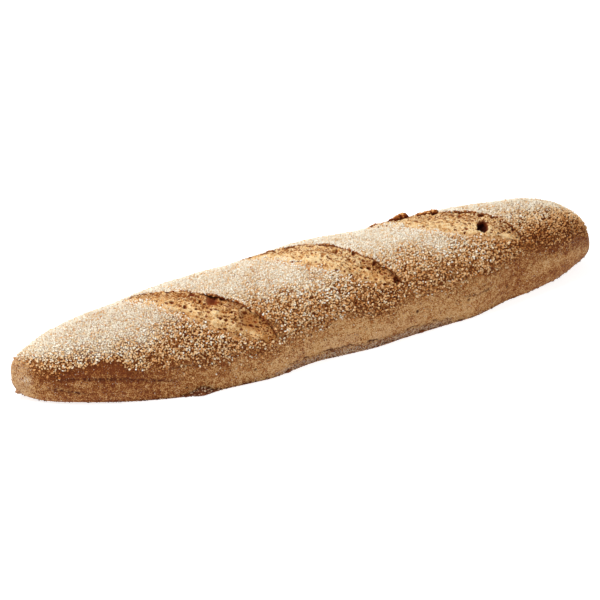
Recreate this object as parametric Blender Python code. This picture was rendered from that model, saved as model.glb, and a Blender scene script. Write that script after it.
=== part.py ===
"""Whole wheat baguette, modelled at real size.

One long hand-shaped loaf lies along X on its flat base, with +Z up. Three slanted scores have
opened into torn crumb, each under a lip of lifted crust. The coarsest grits of the coating, the
torn crags of the lips and the crumbs on the base rim are fused to it. Sizes are in metres.
The origin is the middle of the loaf's footprint.
"""

import math

import bmesh
import bpy
import numpy as np
from mathutils import Matrix, Vector

# Driving sizes of the loaf
LOAF_LENGTH = 0.450
LOAF_WIDTH = 0.0835
LOAF_HEIGHT = 0.0641
LEFT_TIP_HEIGHT = 0.0203
RIGHT_TIP_HEIGHT = 0.0151
SIDE_BEND = -0.0041
S_BEND = 0.0133
END_BEND = -0.0087
FOOTPRINT_CENTRE = 0.0057
SHOULDER_SHARE = 0.4075
BASE_SHARE = 0.97
TIP_BASE_SHARE = 0.30

# The share of its full width at which the base starts to lift, towards the left and the right tip
LEFT_LIFT_START = 0.47
RIGHT_LIFT_START = 0.936

# How width and height fall away to the left tip and to the right tip
WIDTH_PEAK = -0.335
WIDTH_POWER = (1.50, 3.29)
WIDTH_ROUNDING = (0.58, 0.63)
HEIGHT_PEAK = 0.36
HEIGHT_POWER = (3.16, 5.05)
HEIGHT_ROUNDING = (0.42, 0.66)

# Scores, laid out on the unrolled crust: x along the loaf, and girth measured from the crest
SCORES = (
    {
        "x": -0.0975,
        "girth": -0.0210,
        "slant": -38.1,
        "half_length": 0.0620,
        "half_width": 0.0116,
        "bow": 0.0006,
        "flare": 0.25,
    },
    {
        "x": -0.0009,
        "girth": -0.0092,
        "slant": -35.2,
        "half_length": 0.0645,
        "half_width": 0.0116,
        "bow": 0.0004,
        "flare": 0.0,
    },
    {
        "x": 0.1000,
        "girth": -0.0045,
        "slant": -27.8,
        "half_length": 0.0615,
        "half_width": 0.0130,
        "bow": 0.0018,
        "flare": -0.05,
    },
)
SCORE_POWER = 2.4
SCORE_ROUNDING = 0.9

# Cross-section of an opened score, in half widths from its middle: near crust, front edge, torn
# floor, pocket under the lip, edge of the lip, top of the lip and far crust
CUT_FROM = (-1.50, -1.08, -0.93, -0.45, 0.05, 0.42, 0.62, 0.80, 0.95, 1.10, 1.32, 1.70, 2.40)
CUT_TO = (-1.50, -1.08, -0.94, -0.40, 0.34, 0.92, 1.15, 1.12, 0.96, 1.02, 1.24, 1.66, 2.40)
CUT_RISE = (0.0, 0.0003, -0.0007, 0.0004, 0.0001, -0.0012, -0.0030, -0.0015, 0.0, 0.0, 0.0, 0.0, 0.0)
LIP_RISE = (0.0, 0.0, 0.0, 0.0, 0.0, 0.0, 0.0, 0.0, 0.0009, 0.0018, 0.0019, 0.0011, 0.0)
FAR_LIP_SHARE = 0.15

# Slow waves of the two walls where hands and tray shaped them: x, outward size, length
NEAR_WAVES = (
    (-0.056, 0.0020, 0.016),
    (-0.018, -0.0024, 0.019),
    (0.028, 0.0014, 0.016),
    (0.109, 0.0018, 0.013),
    (0.143, -0.0022, 0.012),
    (0.190, 0.0018, 0.015),
)
FAR_WAVES = (
    (-0.150, 0.0012, 0.020),
    (-0.095, -0.0013, 0.018),
    (-0.020, 0.0012, 0.024),
    (0.052, -0.0014, 0.017),
    (0.125, 0.0014, 0.020),
)

# Slow rises and dips of the crest: x, upward size, length
CREST_WAVES = (
    (-0.212, -0.0018, 0.014),
    (-0.147, -0.0013, 0.016),
    (-0.058, -0.0019, 0.018),
    (-0.003, 0.0014, 0.020),
    (0.045, -0.0022, 0.018),
    (0.105, -0.0013, 0.022),
    (0.150, -0.0010, 0.014),
)

# The thin rim that spread on the tray, and the undercut above it
RIM_FLARE = 0.0007
RIM_HEIGHT = 0.0030
UNDERCUT_DEPTH = 0.0011
UNDERCUT_HEIGHT = 0.0062
UNDERCUT_SPAN = (-0.045, 0.085)

# Relief
SLOW_SWELL = 0.0006
HAND_DENTS = 0.0004
CRUST_GRAIN = 0.00022
CRUMB_TEAR = 0.0008
CRUMB_LUMPS = 0.0004
LIP_RAGGEDNESS = 0.0007

# Pores of the crumb: the two large ones, by score, place along it, place across it, radii
LARGE_PORES = (
    (2, 0.44, -0.06, 0.0041, 0.0040),
    (1, 0.90, 0.00, 0.0017, 0.0028),
    (0, 0.16, 0.46, 0.0022, 0.0016),
)

# Shallow film-lined hollows of the crumb: score, place along, place across, length, width, depth
HOLLOWS = (
    (0, 0.55, 0.15, 0.0085, 0.0048, 0.0019),
    (1, 0.66, 0.10, 0.0060, 0.0040, 0.0012),
    (1, -0.35, -0.10, 0.0070, 0.0032, 0.0009),
    (2, -0.15, 0.05, 0.0065, 0.0035, 0.0010),
)
SMALL_PORES_PER_SCORE = 8
SMALL_PORE_RADIUS = (0.0008, 0.0014)

# Torn crags on the far lip of the right score: place along, place across, length, width, height
LIP_CRAGS = (
    (-0.83, 0.95, 0.0026, 0.0016, 0.0018),
    (-0.51, 1.00, 0.0050, 0.0024, 0.0038),
    (-0.22, 1.02, 0.0038, 0.0020, 0.0018),
    (-0.13, 1.00, 0.0040, 0.0024, 0.0032),
)

# Crumbs fused to the base rim: x, side of the loaf, radius
RIM_CRUMBS = (
    (-0.1085, -1, 0.0022),
    (-0.1030, -1, 0.0017),
    (-0.1140, -1, 0.0015),
    (-0.2150, -1, 0.0016),
    (-0.0420, -1, 0.0014),
    (0.0650, -1, 0.0013),
    (-0.0700, 1, 0.0018),
    (0.0900, 1, 0.0016),
)

# Coarse grits
GRIT_COUNT = 100
GRIT_SIZE = (0.00115, 0.00092, 0.00075)
GRIT_SINK = 0.35
COAT_EDGE_ANGLE = 14.0

# Mesh
STATIONS = 220
SEGMENTS = 96
SCORE_CUTS = 2
END_CROWDING = 0.55
BODY_TRIANGLES = 5700
SIDE_WALL_ANGLE = math.radians(50)
SEED = 41


def smooth(value):
    """Rises smoothly from 0 to 1 as value does."""
    v = np.clip(value, 0.0, 1.0)
    return v * v * (3.0 - 2.0 * v)


def lattice_noise(points, cell, seed):
    """Smooth random bumps between -1 and 1, about one for each cell length."""
    p = np.asarray(points, dtype=float) / cell
    corner = np.floor(p).astype(np.int64)
    f = p - corner
    f = f * f * (3.0 - 2.0 * f)
    total = np.zeros(len(p))
    for dx in (0, 1):
        for dy in (0, 1):
            for dz in (0, 1):
                n = (corner[:, 0] + dx) * 73856093
                n = n ^ ((corner[:, 1] + dy) * 19349663)
                n = n ^ ((corner[:, 2] + dz) * 83492791)
                n = (n ^ (seed * 2654435761)) & 0xFFFFFFFF
                n = ((n ^ (n >> 15)) * 2246822519) & 0xFFFFFFFF
                n = ((n ^ (n >> 13)) * 3266489917) & 0xFFFFFFFF
                value = (n ^ (n >> 16)) / 2147483648.0 - 1.0
                weight = f[:, 0] if dx else 1.0 - f[:, 0]
                weight = weight * (f[:, 1] if dy else 1.0 - f[:, 1])
                weight = weight * (f[:, 2] if dz else 1.0 - f[:, 2])
                total += weight * value
    return total


def fall_off(t, peak, power, rounding):
    """1 at the peak, falling to 0 at both tips."""
    left = np.clip((peak - t) / (1.0 + peak), 0.0, 1.0)
    right = np.clip((t - peak) / (1.0 - peak), 0.0, 1.0)
    on_left = (1.0 - left ** power[0]) ** rounding[0]
    on_right = (1.0 - right ** power[1]) ** rounding[1]
    return np.where(t < peak, on_left, on_right)


def profile(t):
    """Half width, top, base, shoulder height, base share and sideways centre at t, from -1 to 1."""
    share = fall_off(t, WIDTH_PEAK, WIDTH_POWER, WIDTH_ROUNDING)
    rise = fall_off(t, HEIGHT_PEAK, HEIGHT_POWER, HEIGHT_ROUNDING)
    half_width = LOAF_WIDTH / 2.0 * share
    rightness = smooth(t + 0.5)
    tip = LEFT_TIP_HEIGHT + (RIGHT_TIP_HEIGHT - LEFT_TIP_HEIGHT) * rightness
    top = tip + (LOAF_HEIGHT - tip) * rise
    lift_start = LEFT_LIFT_START + (RIGHT_LIFT_START - LEFT_LIFT_START) * rightness
    lift = np.clip(1.0 - share / lift_start, 0.0, 1.0)
    base = tip * (1.0 - np.sqrt(np.clip(1.0 - lift ** 2, 0.0, 1.0)))
    shoulder = base + (top - base) * SHOULDER_SHARE
    base_share = TIP_BASE_SHARE + (BASE_SHARE - TIP_BASE_SHARE) * np.clip(share / 0.9, 0.0, 1.0)
    ends = 1.0 - t ** 2
    centre = FOOTPRINT_CENTRE + ends * (SIDE_BEND + S_BEND * t + END_BEND * t ** 2)
    return half_width, top, base, shoulder, base_share, centre


def plain_point(t, angle):
    """A point of the smooth loaf. The angle goes from the far shoulder over the crest (90 degrees)
    to the near shoulder (180 degrees), then down the near wall, across the base and up again."""
    half_width, top, base, shoulder, base_share, centre = profile(t)
    angle = np.mod(angle, 2.0 * math.pi)
    cosine = np.cos(angle)
    sine = np.sin(angle)
    dome_y = half_width * np.sign(cosine) * np.abs(cosine) ** 0.95
    dome_z = shoulder + (top - shoulder) * np.abs(sine) ** 0.97
    below = np.minimum(angle - math.pi, 2.0 * math.pi - angle)
    turn = np.clip(below / SIDE_WALL_ANGLE, 0.0, 1.0) * math.pi / 2.0
    side = np.where(angle < 1.5 * math.pi, -1.0, 1.0)
    wall_y = side * half_width * (base_share + (1.0 - base_share) * np.cos(turn))
    wall_z = shoulder - (shoulder - base) * np.sin(turn)
    span = math.pi - 2.0 * SIDE_WALL_ANGLE
    across = (angle - math.pi - SIDE_WALL_ANGLE) / span * 2.0 - 1.0
    base_y = half_width * base_share * np.clip(across, -1.0, 1.0)
    on_base = below > SIDE_WALL_ANGLE
    y = np.where(angle <= math.pi, dome_y, np.where(on_base, base_y, wall_y))
    z = np.where(angle <= math.pi, dome_z, wall_z)
    return np.stack([t * LOAF_LENGTH / 2.0, centre + y, z], axis=-1)


def girth_radius(t):
    """Radius that turns an angle over the dome into a length along the crust."""
    half_width, top, base, shoulder, base_share, centre = profile(t)
    return (half_width + top - shoulder) / 2.0


def girth_of(t, angle):
    """Length along the crust from the crest, positive on the far side."""
    angle = np.mod(angle, 2.0 * math.pi)
    folded = np.where(angle > 1.5 * math.pi, angle - 2.0 * math.pi, angle)
    return girth_radius(t) * (math.pi / 2.0 - folded)


def in_score(score, x, girth):
    """Place along a score from its middle, and across it towards its lip, in metres."""
    slant = math.radians(score["slant"])
    dx = x - score["x"]
    dg = girth - score["girth"]
    along = dx * math.cos(slant) + dg * math.sin(slant)
    across = -dx * math.sin(slant) + dg * math.cos(slant)
    share = np.clip(1.0 - np.abs(along / score["half_length"]) ** 2, 0.0, 1.0)
    return along, across - score["bow"] * share


def score_half_width(score, along):
    share = np.clip(1.0 - np.abs(along / score["half_length"]) ** SCORE_POWER, 0.0, 1.0)
    flare = 1.0 + score["flare"] * along / score["half_length"]
    return np.maximum(score["half_width"] * flare * share ** SCORE_ROUNDING, 0.0016)


def score_strength(score, along):
    """1 over most of a score, fading to 0 at its ends."""
    return smooth((1.0 - np.abs(along / score["half_length"])) / 0.22)


def wall_waves(x, waves):
    total = np.zeros(len(x))
    for middle, size, length in waves:
        total += size * np.exp(-((x - middle) / length) ** 2)
    return total


def wall_shape(point, t):
    """Sideways offset of the walls: their slow waves, the rim on the tray and the undercut."""
    half_width, top, base, shoulder, base_share, centre = profile(t)
    sideways = (point[:, 1] - centre) / np.maximum(half_width, 0.001)
    near = np.clip(-sideways, 0.0, 1.0) ** 1.5
    far = np.clip(sideways, 0.0, 1.0) ** 1.5
    low = 1.0 - smooth((point[:, 2] - 0.020) / 0.026)
    x = point[:, 0]
    offset = low * (far * wall_waves(x, FAR_WAVES) - near * wall_waves(x, NEAR_WAVES))
    above = point[:, 2] - base
    flare = RIM_FLARE * (1.0 - smooth(above / RIM_HEIGHT))
    start, end = UNDERCUT_SPAN
    span = smooth((x - start) / 0.02) * smooth((end - x) / 0.02)
    groove = UNDERCUT_DEPTH * span * np.exp(-((above - UNDERCUT_HEIGHT) / 0.0020) ** 2)
    at_edge = smooth((np.abs(sideways) - 0.75) / 0.15)
    return offset + np.sign(sideways) * at_edge * (flare - groove)


def surface(t, angle):
    """Points of the baked loaf: the smooth form with its swells, dents, scores and crumb."""
    t = np.asarray(t, dtype=float)
    angle = np.asarray(angle, dtype=float)
    step_t = 0.002
    step_angle = 0.01
    inner = np.clip(t, -0.9985, 0.9985)
    point = plain_point(t, angle)
    ahead = plain_point(np.clip(inner + step_t, -1.0, 1.0), angle)
    behind = plain_point(np.clip(inner - step_t, -1.0, 1.0), angle)
    along = ahead - behind
    around = plain_point(inner, angle - step_angle) - plain_point(inner, angle + step_angle)
    along /= np.linalg.norm(along, axis=1, keepdims=True) + 1e-12
    around /= np.linalg.norm(around, axis=1, keepdims=True) + 1e-12
    normal = np.cross(along, around)
    normal /= np.linalg.norm(normal, axis=1, keepdims=True) + 1e-12
    outward = smooth(point[:, 2] / 0.006) * smooth((1.0 - np.abs(t)) / 0.03)
    rise = SLOW_SWELL * lattice_noise(point, 0.034, 1) + HAND_DENTS * lattice_noise(point, 0.013, 2)
    rise = rise + wall_waves(point[:, 0], CREST_WAVES) * np.clip(np.sin(angle), 0.0, 1.0) ** 2
    grain = CRUST_GRAIN * lattice_noise(point, 0.0045, 3)
    shift = np.zeros((len(t), 3))
    girth = girth_of(t, angle)
    on_dome = np.mod(angle, 2.0 * math.pi) < math.pi * 1.08
    for number, score in enumerate(SCORES):
        u, v = in_score(score, point[:, 0], girth)
        strength = score_strength(score, u) * on_dome
        half = score_half_width(score, u)
        q = v / half
        near = strength * ((q > CUT_FROM[0]) & (q < CUT_FROM[-1]))
        moved = (np.interp(q, CUT_FROM, CUT_TO) - q) * half * near
        slant = math.radians(score["slant"])
        shift += moved[:, None] * (-math.sin(slant) * along + math.cos(slant) * around)
        lip = FAR_LIP_SHARE + (1.0 - FAR_LIP_SHARE) * smooth((u / score["half_length"] + 0.5) / 0.9)
        rise = rise + (np.interp(q, CUT_FROM, CUT_RISE) + lip * np.interp(q, CUT_FROM, LIP_RISE)) * near
        torn = near * smooth((q + 1.0) / 0.12) * smooth((0.60 - q) / 0.15)
        tears = lattice_noise(np.stack([u / 1.8, v, 0.0 * u + number], axis=-1), 0.0042, 5)
        lumps = lattice_noise(point, 0.0026, 6)
        rise = rise + torn * (CRUMB_TEAR * tears + CRUMB_LUMPS * lumps)
        grain = grain * (1.0 - torn)
        for which, along_share, across_share, length, width, depth in HOLLOWS:
            if which == number:
                du = (u - along_share * score["half_length"]) / length
                dv = (v - across_share * half) / width
                rise = rise - near * depth * np.exp(-(du ** 2 + dv ** 2))
        ragged = near * smooth((q - 0.86) / 0.1) * smooth((1.5 - q) / 0.3)
        along_lip = np.stack([u, 0.0 * u, 0.0 * u], axis=-1)
        rise = rise + ragged * LIP_RAGGEDNESS * lattice_noise(along_lip, 0.0055, 7 + number)
    moved_point = point + shift + normal * ((rise + grain) * outward)[:, None]
    moved_point[:, 1] += wall_shape(point, t)
    moved_point[:, 2] = np.maximum(moved_point[:, 2], 0.0)
    return moved_point, normal


def score_place(score, along_share, across_share):
    """Where a place in a score lies on the crust, as t and angle."""
    u = along_share * score["half_length"]
    half = float(score_half_width(score, np.array([u]))[0])
    v = across_share * half + score["bow"] * (1.0 - along_share ** 2)
    slant = math.radians(score["slant"])
    x = score["x"] + u * math.cos(slant) - v * math.sin(slant)
    girth = score["girth"] + u * math.sin(slant) + v * math.cos(slant)
    t = x / (LOAF_LENGTH / 2.0)
    return t, math.pi / 2.0 - girth / float(girth_radius(np.array([t]))[0])


def new_object(name, mesh_source, collection, material):
    mesh = bpy.data.meshes.new(name)
    mesh_source.to_mesh(mesh)
    mesh_source.free()
    obj = bpy.data.objects.new(name, mesh)
    obj.data.materials.append(material)
    collection.objects.link(obj)
    return obj


def place_of(direction):
    """t and angle of a point of the round blank that the loaf is shaped from."""
    polar = 2.0 * np.arccos(np.clip(direction[:, 2], -1.0, 1.0)) / math.pi
    even = 1.0 - polar
    t = (1.0 - END_CROWDING) * even + END_CROWDING * np.sin(even * math.pi / 2.0)
    angle = np.mod(np.arctan2(direction[:, 1], direction[:, 0]), 2.0 * math.pi)
    return t, angle


def unit_directions(bm):
    found = np.array([v.co[:] for v in bm.verts])
    return found / np.linalg.norm(found, axis=1, keepdims=True)


def build_loaf(collection, material):
    """A round blank, cut finer where the scores are, then shaped into the loaf."""
    bm = bmesh.new()
    bmesh.ops.create_uvsphere(bm, u_segments=SEGMENTS, v_segments=STATIONS, radius=1.0)
    bm.faces.ensure_lookup_table()
    centres = np.array([f.calc_center_median()[:] for f in bm.faces])
    centres /= np.linalg.norm(centres, axis=1, keepdims=True)
    t, angle = place_of(centres)
    girth = girth_of(t, angle)
    fine = np.zeros(len(t), dtype=bool)
    for score in SCORES:
        u, v = in_score(score, t * LOAF_LENGTH / 2.0, girth)
        reach = score["half_width"] * 1.9
        fine |= (np.abs(u) < score["half_length"] + 0.003) & (v > -reach) & (v < reach * 1.15)
    edges = {edge for face, chosen in zip(bm.faces, fine) if chosen for edge in face.edges}
    edges = sorted(edges, key=lambda e: e.index)
    bmesh.ops.subdivide_edges(bm, edges=edges, cuts=SCORE_CUTS, use_grid_fill=True)
    bmesh.ops.triangulate(bm, faces=bm.faces[:])
    directions = unit_directions(bm)
    t, angle = place_of(directions)
    points, normal = surface(t, angle)
    for vert, point in zip(bm.verts, points):
        vert.co = Vector(point)
    bmesh.ops.recalc_face_normals(bm, faces=bm.faces[:])
    if bm.calc_volume(signed=True) < 0:
        bmesh.ops.reverse_faces(bm, faces=bm.faces[:])
    loaf = new_object("loaf", bm, collection, material)
    thin = loaf.modifiers.new("even_facets", "DECIMATE")
    thin.ratio = BODY_TRIANGLES / len(loaf.data.polygons)
    thin.use_collapse_triangulate = True
    return loaf


def apply_modifiers(obj):
    """Keeps the object's evaluated mesh as its own."""
    graph = bpy.context.evaluated_depsgraph_get()
    mesh = bpy.data.meshes.new_from_object(obj.evaluated_get(graph))
    obj.modifiers.clear()
    old = obj.data
    obj.data = mesh
    bpy.data.meshes.remove(old)


def settle_base(obj):
    """Sets the vertices of the footprint exactly on the ground."""
    for vert in obj.data.vertices:
        if abs(vert.co.z) < 0.0003:
            vert.co.z = 0.0


def lump(name, place, axes, turn, detail, roughness, seed, collection, material):
    """An uneven rounded lump: a grit, a crag, a crumb or the hollow of a pore."""
    bm = bmesh.new()
    bmesh.ops.create_icosphere(bm, subdivisions=detail, radius=1.0)
    if roughness:
        points = np.array([v.co[:] for v in bm.verts])
        bumps = 1.0 + roughness * lattice_noise(points + seed * 7.31, 0.8, seed)
        for vert, bump in zip(bm.verts, bumps):
            vert.co *= float(bump)
    bmesh.ops.scale(bm, vec=Vector(axes), verts=bm.verts[:])
    bmesh.ops.transform(bm, matrix=Matrix.Translation(place) @ turn, verts=bm.verts[:])
    return new_object(name, bm, collection, material)


def upright_turn(normal, heading):
    """A turn whose Z is the normal and whose X lies along heading as nearly as it can."""
    z = Vector(normal).normalized()
    x = Vector(heading)
    x = (x - z * x.dot(z)).normalized()
    y = z.cross(x)
    return Matrix((x, y, z)).transposed().to_4x4()


def on_surface(t, angle):
    points, normals = surface(np.array([t]), np.array([angle]))
    return Vector(points[0]), Vector(normals[0])


def build_pores(rng, collection, material):
    for number, (which, along, across, long_radius, wide_radius) in enumerate(LARGE_PORES):
        score = SCORES[which]
        slant = math.radians(score["slant"])
        place, normal = on_surface(*score_place(score, along, across))
        turn = upright_turn(normal, (math.cos(slant), math.sin(slant), 0.0))
        axes = (long_radius, wide_radius, wide_radius * 1.1)
        centre = place - normal * wide_radius * 0.15
        name = f"large_pore_{number}"
        lump(name, centre, axes, turn, 2, 0.12, 50 + number, collection, material)
    for which, score in enumerate(SCORES):
        slant = math.radians(score["slant"])
        for number in range(SMALL_PORES_PER_SCORE):
            along = -0.72 + 1.44 * (number + 0.2 + 0.6 * rng.random()) / SMALL_PORES_PER_SCORE
            across = rng.uniform(-0.55, 0.30)
            radius = rng.uniform(*SMALL_PORE_RADIUS)
            spin = rng.uniform(-0.6, 0.6)
            if any(which == p[0] and abs(along - p[1]) < 0.11 for p in LARGE_PORES):
                continue
            place, normal = on_surface(*score_place(score, along, across))
            turn = upright_turn(normal, (math.cos(slant + spin), math.sin(slant + spin), 0.0))
            axes = (radius * 1.4, radius, radius)
            lump(f"pore_{which}_{number}", place, axes, turn, 1, 0.0, 80, collection, material)


def build_crags(collection, material):
    score = SCORES[2]
    slant = math.radians(score["slant"])
    for number, (along, across, length, width, height) in enumerate(LIP_CRAGS):
        place, normal = on_surface(*score_place(score, along, across * 1.1))
        turn = upright_turn(normal, (math.cos(slant), math.sin(slant), 0.0))
        axes = (length, width, height)
        lump(f"lip_crag_{number}", place, axes, turn, 2, 0.28, 20 + number, collection, material)


def build_rim_crumbs(collection, material):
    for number, (x, side, radius) in enumerate(RIM_CRUMBS):
        t = x / (LOAF_LENGTH / 2.0)
        lower = 0.97 * SIDE_WALL_ANGLE
        angle = math.pi + lower if side < 0 else 2.0 * math.pi - lower
        place, normal = on_surface(t, angle)
        place.z = max(place.z, radius)
        axes = (radius * 1.25, radius, radius * 0.8)
        level = Matrix.Identity(4)
        lump(f"rim_crumb_{number}", place, axes, level, 1, 0.2, 30 + number, collection, material)


def coated_places(rng, count):
    """Places spread evenly over the coated crust: each next one is the farthest from those before."""
    edge = math.radians(COAT_EDGE_ANGLE)
    t = rng.uniform(-0.985, 0.985, 9000)
    angle = rng.uniform(edge, math.pi - edge, 9000)
    girth = girth_of(t, angle)
    keep = rng.random(9000) < girth_radius(t) / 0.042
    for score in SCORES:
        u, v = in_score(score, t * LOAF_LENGTH / 2.0, girth)
        q = v / score_half_width(score, u)
        keep &= ~((np.abs(u) < score["half_length"]) & (q > -1.35) & (q < 1.45))
    t = t[keep]
    angle = angle[keep]
    points, normals = surface(t, angle)
    chosen = [0]
    gap = np.linalg.norm(points - points[0], axis=1)
    while len(chosen) < count:
        farthest = int(np.argmax(gap))
        chosen.append(farthest)
        gap = np.minimum(gap, np.linalg.norm(points - points[farthest], axis=1))
    return points[chosen], normals[chosen]


def build_grits(rng, loaf, collection, material):
    points, normals = coated_places(rng, GRIT_COUNT)
    for number, (point, normal) in enumerate(zip(points, normals)):
        found, point, facet_normal, facet = loaf.closest_point_on_mesh(Vector(point))
        size = rng.uniform(0.85, 1.25)
        heading = rng.uniform(0.0, 2.0 * math.pi)
        turn = upright_turn(normal, (math.cos(heading), math.sin(heading), 0.13))
        axes = [size * s * rng.uniform(0.88, 1.12) for s in GRIT_SIZE]
        place = point + Vector(normal) * (axes[2] * (1.0 - 2.0 * GRIT_SINK))
        lump(f"grit_{number}", place, axes, turn, 1, 0.10, 200 + number, collection, material)


def join(obj, collection, operation):
    """One Boolean of the object with all of a collection, applied; the collection then goes."""
    boolean = obj.modifiers.new(collection.name, "BOOLEAN")
    boolean.operation = operation
    boolean.operand_type = "COLLECTION"
    boolean.collection = collection
    boolean.solver = "MANIFOLD"
    apply_modifiers(obj)
    for tool in list(collection.objects):
        bpy.data.objects.remove(tool)
    bpy.data.collections.remove(collection)


def keep_largest_shell(obj):
    """Drops any loose scrap and keeps the loaf as plain triangles."""
    bm = bmesh.new()
    bm.from_mesh(obj.data)
    bmesh.ops.triangulate(bm, faces=bm.faces[:])
    seen = set()
    shells = []
    for start in bm.faces:
        if start in seen:
            continue
        shell = [start]
        seen.add(start)
        for face in shell:
            for edge in face.edges:
                for other in edge.link_faces:
                    if other not in seen:
                        seen.add(other)
                        shell.append(other)
        shells.append(shell)
    shells.sort(key=len)
    for shell in shells[:-1]:
        bmesh.ops.delete(bm, geom=shell, context="FACES")
    bm.to_mesh(obj.data)
    bm.free()


def centre_footprint(obj):
    """Puts the middle of the loaf's bounding box over the origin and its base on the ground."""
    points = np.array([v.co[:] for v in obj.data.vertices])
    low = points.min(axis=0)
    high = points.max(axis=0)
    obj.data.transform(Matrix.Translation((-(low[0] + high[0]) / 2, -(low[1] + high[1]) / 2, -low[2])))


def crust_material():
    material = bpy.data.materials.new("baked_crust")
    material.use_nodes = True
    shader = material.node_tree.nodes["Principled BSDF"]
    shader.inputs["Base Color"].default_value = (0.56, 0.36, 0.19, 1.0)
    shader.inputs["Roughness"].default_value = 0.85
    shader.inputs["Metallic"].default_value = 0.0
    return material


def new_collection(name, hidden):
    collection = bpy.data.collections.new(name)
    bpy.context.scene.collection.children.link(collection)
    collection.hide_render = hidden
    return collection


def main():
    for obj in list(bpy.data.objects):
        bpy.data.objects.remove(obj)
    rng = np.random.default_rng(SEED)
    material = crust_material()
    baguette = new_collection("whole_wheat_baguette", False)
    pores = new_collection("pores", True)
    toppings = new_collection("toppings", True)
    loaf = build_loaf(baguette, material)
    apply_modifiers(loaf)
    settle_base(loaf)
    build_pores(rng, pores, material)
    build_crags(toppings, material)
    build_rim_crumbs(toppings, material)
    build_grits(rng, loaf, toppings, material)
    join(loaf, pores, "DIFFERENCE")
    join(loaf, toppings, "UNION")
    keep_largest_shell(loaf)
    centre_footprint(loaf)
    loaf.data.shade_flat()


main()
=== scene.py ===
"""Whole wheat baguette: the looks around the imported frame.

The crust, the open crumb of the three scores, their torn lips and the coating of grits and bran
are pieces of their own. They follow the same named forms as the part's source, in metres. t runs
along the loaf, from -1 at its left tip to 1 at its right one. Angles run round it, from the far
shoulder (0 degrees) over the crest (90) to the near shoulder (180), then down the near wall.
"""

import math
from collections import namedtuple

import bmesh
import bpy
import numpy as np
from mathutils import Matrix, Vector

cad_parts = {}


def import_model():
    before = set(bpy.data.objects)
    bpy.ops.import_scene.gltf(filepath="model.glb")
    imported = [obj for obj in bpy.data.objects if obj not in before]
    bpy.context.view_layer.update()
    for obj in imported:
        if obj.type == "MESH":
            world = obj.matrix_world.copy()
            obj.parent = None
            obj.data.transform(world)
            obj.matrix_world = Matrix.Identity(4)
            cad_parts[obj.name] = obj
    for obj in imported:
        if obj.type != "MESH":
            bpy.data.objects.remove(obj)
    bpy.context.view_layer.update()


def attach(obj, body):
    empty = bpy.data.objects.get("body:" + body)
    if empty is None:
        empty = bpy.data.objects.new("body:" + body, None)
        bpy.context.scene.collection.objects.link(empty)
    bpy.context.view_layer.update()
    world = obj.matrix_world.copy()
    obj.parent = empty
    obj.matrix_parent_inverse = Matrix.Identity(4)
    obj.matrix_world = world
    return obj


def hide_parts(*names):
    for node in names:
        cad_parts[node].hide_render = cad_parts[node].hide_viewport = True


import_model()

SEED = 73

# ---------------------------------------------------------------- forms shared with the source
LOAF_LENGTH = 0.450
HALF_LENGTH = LOAF_LENGTH / 2.0
LOAF_WIDTH = 0.0835
LOAF_HEIGHT = 0.0641
LEFT_TIP_HEIGHT = 0.0203
RIGHT_TIP_HEIGHT = 0.0151
SIDE_BEND = -0.0041
S_BEND = 0.0133
END_BEND = -0.0087
FOOTPRINT_CENTRE = 0.0057
FOOTPRINT_SHIFT = 0.00046943
SHOULDER_SHARE = 0.4075
BASE_SHARE = 0.97
TIP_BASE_SHARE = 0.30
LEFT_LIFT_START = 0.47
RIGHT_LIFT_START = 0.936
WIDTH_PEAK = -0.335
WIDTH_POWER = (1.50, 3.29)
WIDTH_ROUNDING = (0.58, 0.63)
HEIGHT_PEAK = 0.36
HEIGHT_POWER = (3.16, 5.05)
HEIGHT_ROUNDING = (0.42, 0.66)
Score = namedtuple("Score", "x girth slant half_length half_width bow flare")
SCORES = (
    Score(-0.0975, -0.0210, -38.1, 0.0620, 0.0116, 0.0006, 0.25),
    Score(-0.0009, -0.0092, -35.2, 0.0645, 0.0116, 0.0004, 0.0),
    Score(0.1000, -0.0045, -27.8, 0.0615, 0.0130, 0.0018, -0.05),
)
SCORE_POWER = 2.4
SCORE_ROUNDING = 0.9
SCORE_LEAST_WIDTH = 0.0016
CUT_FROM = (-1.50, -1.08, -0.93, -0.45, 0.05, 0.42, 0.62, 0.80, 0.95, 1.10, 1.32, 1.70, 2.40)
CUT_TO = (-1.50, -1.08, -0.94, -0.40, 0.34, 0.92, 1.15, 1.12, 0.96, 1.02, 1.24, 1.66, 2.40)
CUT_RISE = (0.0, 0.0003, -0.0007, 0.0004, 0.0001, -0.0012, -0.0030, -0.0015, 0, 0, 0, 0, 0)
LIP_RISE = (0, 0, 0, 0, 0, 0, 0, 0, 0.0009, 0.0018, 0.0019, 0.0011, 0)
FAR_LIP_SHARE = 0.15
# Waves of the walls and the crest: x, size, reach
NEAR_WAVES = (
    (-0.056, 0.0020, 0.016), (-0.018, -0.0024, 0.019), (0.028, 0.0014, 0.016),
    (0.109, 0.0018, 0.013), (0.143, -0.0022, 0.012), (0.190, 0.0018, 0.015),
)
FAR_WAVES = (
    (-0.150, 0.0012, 0.020), (-0.095, -0.0013, 0.018), (-0.020, 0.0012, 0.024),
    (0.052, -0.0014, 0.017), (0.125, 0.0014, 0.020),
)
CREST_WAVES = (
    (-0.212, -0.0018, 0.014), (-0.147, -0.0013, 0.016), (-0.058, -0.0019, 0.018),
    (-0.003, 0.0014, 0.020), (0.045, -0.0022, 0.018), (0.105, -0.0013, 0.022),
    (0.150, -0.0010, 0.014),
)
RIM_FLARE = 0.0007
RIM_HEIGHT = 0.0030
UNDERCUT_DEPTH = 0.0011
UNDERCUT_HEIGHT = 0.0062
UNDERCUT_SPAN = (-0.045, 0.085)
SLOW_SWELL = 0.0006
HAND_DENTS = 0.0004
CRUST_GRAIN = 0.00022
CRUMB_TEAR = 0.0008
CRUMB_LUMPS = 0.0004
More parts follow.
